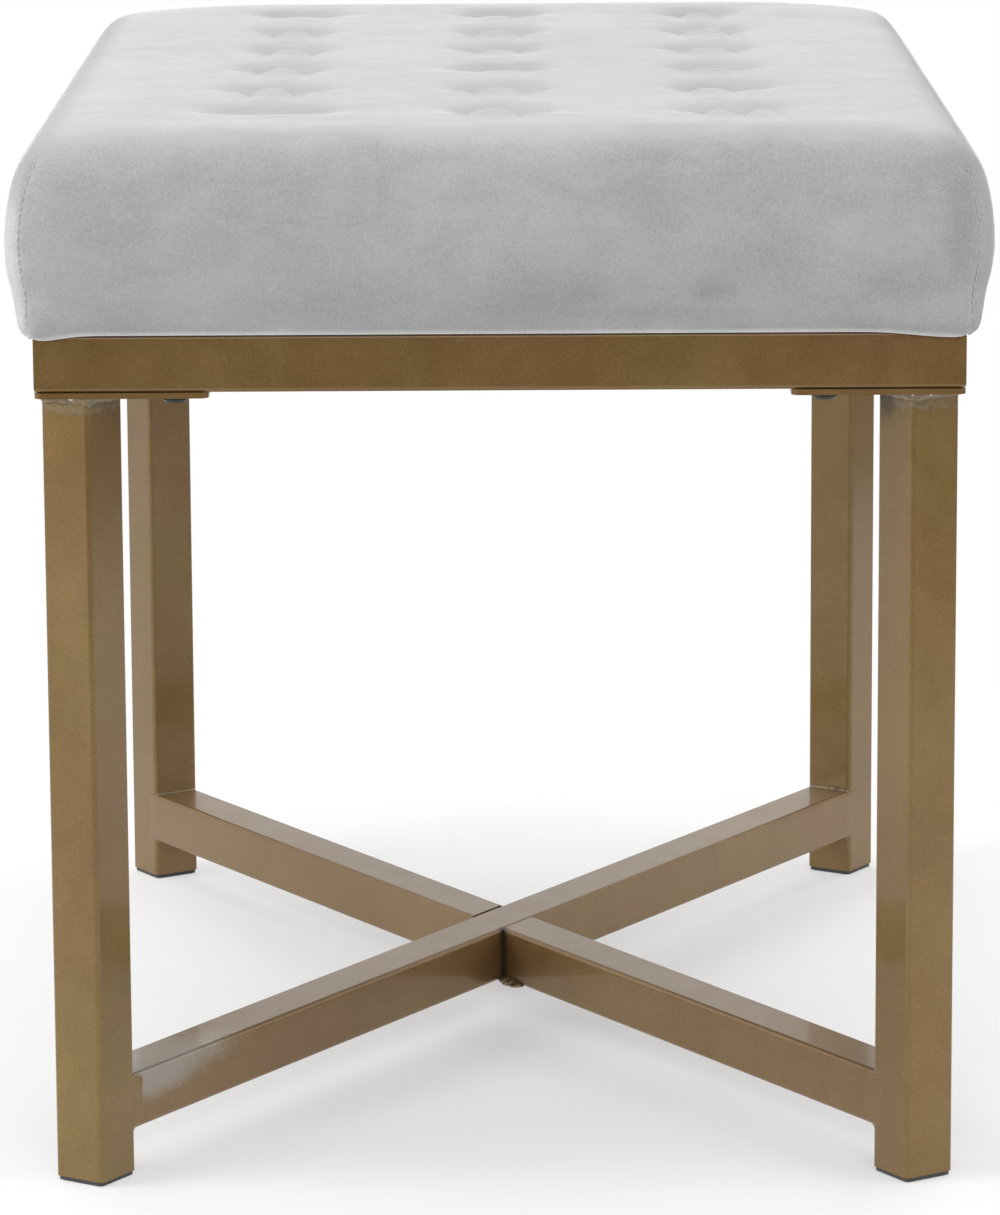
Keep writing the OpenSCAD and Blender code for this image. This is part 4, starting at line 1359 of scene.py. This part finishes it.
class BENCH_OT_weld_beads(bpy.types.Operator):
    """Lays rippled weld beads at the leg tops, the stretchers' ends and the crossing"""

    bl_idname = "bench.weld_beads"
    bl_label = "Lay the Weld Beads"

    def execute(self, context):
        bead = powder_coat("coated weld metal", BEAD_TINT, peel=1.0, marks=near_height(0.0, 1 * MM))
        smooth = powder_coat("coated flush weld", BAR_TINT)
        bare = grained("bare weld spatter", (0.85, 0.83, 0.78), (0.6, 0.58, 0.54), 900.0, (0.2, 0.35),
                       metallic=0.7)
        tops = joined([leg_top_bead(c, 3 + k) for k, c in enumerate(CORNERS)])
        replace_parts(new_piece("leg_top_beads", *tops, bead, "weld_steel"), "leg_plate_welds")
        ends = joined([stretcher_beads(c, 20 + 3 * k) for k, c in enumerate(CORNERS)])
        fills = joined([flush_fill(c, side, 50 + k) for k, c in enumerate(CORNERS) for side in (-1, 1)])
        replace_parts(new_piece("stretcher_end_beads", *ends, bead, "weld_steel"), "stretcher_welds")
        new_piece("stretcher_flush_fills", *fills, smooth, "weld_steel")
        crossing = joined([crossing_bead(side) for side in (-1, 1)])
        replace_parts(new_piece("crossing_beads", *crossing, bead, "weld_steel"), "crossing_welds")
        new_piece("weld_spatter", *joined([leg_spatter(c) for c in CORNERS]), bare, "weld_steel")
        return {"FINISHED"}


class BENCH_OT_velvet_cushion(bpy.types.Operator):
    """Makes the tufted velvet cover, swells it with cloth simulation and sews its details"""

    bl_idname = "bench.velvet_cushion"
    bl_label = "Make the Velvet Cushion"

    def execute(self, context):
        sewn, faces, edge = cushion_shell()
        piece = new_piece("velvet_cushion", sewn, faces, velvet_material(), "velvet")
        # Painted highlight along the turned lower edge
        store_mask(piece.data, EDGE_HIGHLIGHT_MASK, edge)
        # Brushed pile on the front, with painted shade at the right front corner
        store_mask(piece.data, BRUSHED_AND_SHADE_MASK, brushed_pile_and_shade(sewn))
        # Painted sheen: the left panel is drawn lighter than the others
        left = (sewn[:, 0] < 0) * smooth_step(10 * MM, 44 * MM, CROWN_Z - sewn[:, 2])
        store_mask(piece.data, LEFT_SHEEN_MASK, left * smooth_step(-0.05, 0.06, -corner_turn(sewn)))
        set_coordinates(piece.data, sewn + self.swell(piece, sewn, point_normals(piece.data)))
        subdivided(piece, 1)
        points = coordinates(piece.data)
        normals = point_normals(piece.data)
        points = points + side_details(points, normals) - normals * front_creases(points)[:, None]
        # Painted highlights on the tufts' lips and painted shade in their creases
        store_mask(piece.data, LIP_LIGHT_MASK, tuft_lips(points))
        points[:, 2] -= tuft_dip(points)
        points[:, 2] -= corner_droop(points) + sunk_corners(points)
        set_coordinates(piece.data, points)
        add_lining(piece, (HALF_W - TURNED_IN, HALF_L - TURNED_IN))
        piece.data.shade_smooth()
        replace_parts(piece, "velvet_cover")
        return {"FINISHED"}

    def swell(self, piece, sewn, normals):
        """Movement away from the sewn shape that the swollen cloth settles into, kept small."""
        settings = look_settings()
        start = drawn_in(sewn, normals, settings.swell_room)
        set_coordinates(piece.data, start)
        drop = below_crown(sewn)
        held = smooth_step(78.0, HELD_BELOW, drop)
        for tx, ty in tuft_places():
            r = np.hypot(sewn[:, 0] - tx, sewn[:, 1] - ty)
            held = np.maximum(held, np.where(drop < 30, 1 - smooth_step(3 * MM, 9 * MM, r), 0))
        moved = swollen(piece, held, settings.pressure, CLOTH_FRAMES) - start
        length = np.linalg.norm(moved, axis=1)
        moved *= (np.minimum(length, settings.swell_cap) / np.maximum(length, 1e-9))[:, None]
        outward = ((start + moved - sewn) * normals).sum(axis=1)
        limit = (TOP_SWELL + SIDE_SWELL * smooth_step(10.0, 30.0, drop)) * MM
        kept = np.tanh(outward / (4 * limit)) * limit
        return normals * kept[:, None]


class BENCH_OT_corner_stitches(bpy.types.Operator):
    """Sews the stitches of the cushion's upright corner seams"""

    bl_idname = "bench.corner_stitches"
    bl_label = "Sew the Corner Seams"

    def execute(self, context):
        cushion = bpy.data.objects["velvet_cushion"]
        surface = cushion.data
        points = coordinates(surface)
        normals = point_normals(surface)
        across, at_corner = corner_distance(points)
        drop = below_crown(points)
        faces_out = normals[:, 0] * points[:, 0] + normals[:, 1] * points[:, 1] > 0
        outer = at_corner & (drop > 8) & (drop < 82) & faces_out
        thread = grained("seam thread", (0.62, 0.62, 0.63), (0.5, 0.5, 0.51), 3000.0, (0.7, 0.8))
        parts = []
        for sx, sy in CORNERS.values():
            here = outer & in_corner(points, sx, sy) & (np.abs(across) < 1.6 * MM)
            line = points[here]
            order = np.argsort(line[:, 2])
            rise = 0.6 * MM if sx < 0 else 0.34 * MM
            parts += self.stitches(line[order], normals[here][order], rise)
        new_piece("corner_stitches", *joined(parts), thread, "velvet")
        return {"FINISHED"}

    def stitches(self, line, outward, rise):
        """Short threads that lie in the seam, one after another."""
        parts = []
        pitch, length, radius = 3.3 * MM, 2.3 * MM, 0.28 * MM
        levels = np.arange(line[0, 2] + 2 * MM, line[-1, 2] - 2 * MM, pitch)
        for level in levels:
            ends = []
            for z in (level - length / 2, level, level + length / 2):
                near = np.argsort(np.abs(line[:, 2] - z))[:4]
                way = Vector(outward[near].mean(axis=0)).normalized()
                ends.append((Vector(line[near].mean(axis=0)), way))
            middle = (ends[0][0] + ends[2][0]) / 2
            for k in (0, 2):
                ends[k] = (Vector((middle.x, middle.y, level + (k - 1) * length / 2)), ends[k][1])
            parts.append(self.thread(ends, radius, rise))
        return parts

    def thread(self, ends, radius, rise):
        """One stitch: a thin thread that rises out of the cloth and goes back in."""
        points = []
        rings, sides, sunk = 6, 6, 0.2 * MM
        a, b = ends[0][0], ends[2][0]
        out = (ends[0][1] + ends[2][1]).normalized()
        along = (b - a).normalized()
        aside = along.cross(out).normalized()
        for k in range(rings + 1):
            t = k / rings
            centre = a.lerp(b, t) + out * (rise * math.sin(math.pi * t) - sunk)
            for j in range(sides):
                turn = 2 * math.pi * j / sides
                points.append(centre + (aside * math.cos(turn) + out * math.sin(turn)) * radius)
        return points, tube_faces(rings + 1, sides)


class BENCH_OT_dust_cover(bpy.types.Operator):
    """Stretches the dust cover under the board, with a soft sag and puckers at its staples"""

    bl_idname = "bench.dust_cover"
    bl_label = "Stretch the Dust Cover"

    def execute(self, context):
        half_x, half_y = DUST_HIGH.x, DUST_HIGH.y
        nx, ny = 86, 136
        grid_x, grid_y = np.meshgrid(np.linspace(-half_x, half_x, nx), np.linspace(-half_y, half_y, ny))
        x, y = rounded(grid_x.ravel(), grid_y.ravel(), half_x, half_y, DUST_CORNER)
        inset_x, inset_y = 148 * MM, 250 * MM
        deepest, wavy, pucker, pucker_size = 2.2 * MM, 0.25 * MM, 0.12 * MM, 6.5 * MM
        inside = np.clip(1 - (x / inset_x) ** 2, 0, 1) * np.clip(1 - (y / inset_y) ** 2, 0, 1)
        flat = np.column_stack([x, y, np.zeros(len(x))])
        sag = -deepest * inside + noise_field(flat, (16, 16, 1), 9) * wavy * inside
        rim = np.maximum(np.abs(x) - inset_x, np.abs(y) - inset_y)
        ripple = np.sin(x / pucker_size) * np.sin(y / pucker_size) * pucker * np.exp(-(rim / (10 * MM)) ** 2)
        thickness, clearance = 0.38 * MM, 0.04 * MM
        low = DUST_HIGH.z - (thickness + clearance) + sag + ripple
        points = slab_points(x, y, low + thickness, low)
        cloth = cloth_material("black dust cloth", (0.022, 0.022, 0.024), 0.8 * MM, 0.1 * MM, 0.85)
        piece = new_piece("dust_cover_sheet", points, slab_faces(nx, ny), cloth, "dust_cloth")
        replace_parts(piece, "dust_cover")
        return {"FINISHED"}


FLOOR_RADIUS = 14.0
# Where the camera stands, and how far it looks down, turns and leans, in degrees
CAMERA_PLACE = Vector((0.8, -2818.0, 762.7)) * MM
CAMERA_TILT, CAMERA_TURN, CAMERA_ROLL = 11.29, -0.03, 0.32


class BENCH_OT_stage(bpy.types.Operator):
    """Sets the floor, the studio lamps, the room light and the camera"""

    bl_idname = "bench.stage"
    bl_label = "Set the Stage"

    def execute(self, context):
        scene = context.scene
        scene.view_settings.view_transform = "Standard"
        self.make_floor()
        self.make_room(scene)
        settings = look_settings()
        lamps = (
            ("overhead softbox", (0.0, 0.5, 2.6), (0.0, 0.0, 0.3), (2.6, 2.6), 37.0),
            ("front softbox", (0.4, -3.3, 2.0), (0.0, 0.0, 0.3), (2.4, 1.8), 41.0),
            ("left softbox", (-2.5, -0.8, 1.2), (0.0, 0.0, 0.25), (1.5, 2.0), 40.0),
            ("right softbox", (2.5, -1.0, 1.2), (0.0, 0.0, 0.25), (1.5, 2.0), 16.0),
        )
        for name, place, aim, size, watts in lamps:
            self.add_lamp(name, place, aim, size, watts * settings.lamp_level)
        self.add_camera(scene)
        return {"FINISHED"}

    def make_floor(self):
        """A white floor; gloss sees it as a roll of paper under the bench, with a dark room beyond."""
        made = bmesh.new()
        bmesh.ops.create_circle(made, cap_ends=True, radius=FLOOR_RADIUS, segments=96)
        mesh = bpy.data.meshes.new("studio_floor")
        made.to_mesh(mesh)
        made.free()
        floor = bpy.data.objects.new("studio_floor", mesh)
        bpy.context.scene.collection.objects.link(floor)
        material, desk, shader = new_material("studio floor paper")
        where = desk.add("ShaderNodeTexCoord").outputs["Object"]
        away = desk.distance(where, (0.0, 0.0, 0.0))
        axes = desk.axes(where)
        left = desk.range(axes["X"], -1.9, -1.6, 0.0, 1.0, smooth=True)
        right = desk.range(axes["X"], 1.0, 1.3, 1.0, 0.0, smooth=True)
        front = desk.math("MULTIPLY_ADD", axes["X"], -0.26, axes["Y"])
        ahead = desk.range(front, -1.2, -0.85, 0.0, 1.0, smooth=True)
        roll = desk.math("MULTIPLY", desk.math("MULTIPLY", left, right), ahead)
        seen = seen_directly(desk, roll)
        grey = desk.range(away, 0.8, 1.9, 0.78, 0.10, smooth=True)
        paper = desk.blend(seen, desk.grey(grey), (0.93, 0.93, 0.93, 1.0))
        desk.fill(shader, base_color=paper, roughness=0.9, specular=0.0)
        glow = desk.add("ShaderNodeEmission", {"Color": WHITE, "Strength": 1.0})
        clear = desk.range(desk.distance(where, (0.2, 0.0, 0.0)), 0.3, 0.95, 0.35, 1.0, smooth=True)
        share = desk.math("MULTIPLY", seen, clear)
        mix = desk.add("ShaderNodeMixShader", {0: share, 1: shader.outputs[0], 2: glow.outputs[0]})
        output = next(n for n in desk.tree.nodes if n.type == "OUTPUT_MATERIAL")
        desk.tree.links.new(mix.outputs[0], output.inputs["Surface"])
        mesh.materials.append(material)

    def make_room(self, scene):
        """Even light from all round, with a white backdrop; gloss and glass see it behind the bench only."""
        world = bpy.data.worlds.new("studio room")
        scene.world = world
        world.use_nodes = True
        desk = NodeDesk(world.node_tree)
        back = next(n for n in world.node_tree.nodes if n.type == "BACKGROUND")
        back.inputs["Color"].default_value = WHITE
        level = look_settings().sky_level
        way = desk.add("ShaderNodeTexCoord").outputs["Generated"]
        behind = desk.range(desk.axes(way)["Y"], -0.15, 0.25, 0.0, 1.0)
        white = seen_directly(desk, behind)
        desk.feed(back.inputs["Strength"], desk.range(white, 0.0, 1.0, level, 1.0))

    def add_lamp(self, name, place, aim, size, watts):
        """One rectangular softbox, aimed at a point."""
        light = bpy.data.lights.new(name, "AREA")
        light.shape = "RECTANGLE"
        light.size, light.size_y = size
        light.energy = watts
        lamp = bpy.data.objects.new(name, light)
        lamp.location = place
        lamp.rotation_euler = (Vector(aim) - Vector(place)).to_track_quat("-Z", "Y").to_euler()
        bpy.context.scene.collection.objects.link(lamp)

    def add_camera(self, scene):
        """A long lens a little above the seat, looking down at the short end."""
        tilt, turn, roll = (math.radians(a) for a in (CAMERA_TILT, CAMERA_TURN, CAMERA_ROLL))
        right = Vector((math.cos(turn), -math.sin(turn), 0))
        ahead = Vector((math.sin(turn) * math.cos(tilt), math.cos(turn) * math.cos(tilt), -math.sin(tilt)))
        up = right.cross(ahead)
        tilted_right = right * math.cos(roll) - up * math.sin(roll)
        tilted_up = right * math.sin(roll) + up * math.cos(roll)
        data = bpy.data.cameras.new("studio camera")
        data.sensor_width = 36.0
        data.lens = 176.0
        camera = bpy.data.objects.new("studio camera", data)
        scene.collection.objects.link(camera)
        basis = Matrix((tilted_right, tilted_up, -ahead)).transposed().to_4x4()
        camera.matrix_world = Matrix.Translation(CAMERA_PLACE) @ basis
        scene.camera = camera


OPERATORS = (
    BENCH_OT_steel_base,
    BENCH_OT_seat_parts,
    BENCH_OT_weld_beads,
    BENCH_OT_velvet_cushion,
    BENCH_OT_corner_stitches,
    BENCH_OT_dust_cover,
    BENCH_OT_stage,
)


class BENCH_PT_sidebar(bpy.types.Panel):
    """Lists the bench's settings and pieces"""

    bl_label = "Velvet Bench"
    bl_idname = "BENCH_PT_sidebar"
    bl_space_type = "VIEW_3D"
    bl_region_type = "UI"
    bl_category = "Bench"

    def draw(self, context):
        for name in BenchSettings.__annotations__:
            self.layout.prop(context.scene.bench, name)
        for operator in OPERATORS:
            self.layout.operator(operator.bl_idname)


CLASSES = (BenchSettings, *OPERATORS, BENCH_PT_sidebar)


def register():
    """Registers the add-on's classes and keeps its settings on the scene."""
    for cls in CLASSES:
        bpy.utils.register_class(cls)
    bpy.types.Scene.bench = PointerProperty(type=BenchSettings)


def unregister():
    """Takes the settings and the classes away again."""
    del bpy.types.Scene.bench
    for cls in reversed(CLASSES):
        bpy.utils.unregister_class(cls)


def main():
    """Makes the bench piece by piece."""
    register()
    bpy.ops.bench.steel_base()
    bpy.ops.bench.seat_parts()
    bpy.ops.bench.weld_beads()
    bpy.ops.bench.velvet_cushion()
    bpy.ops.bench.corner_stitches()
    bpy.ops.bench.dust_cover()
    bpy.ops.bench.stage()


if __name__ == "__main__":
    main()
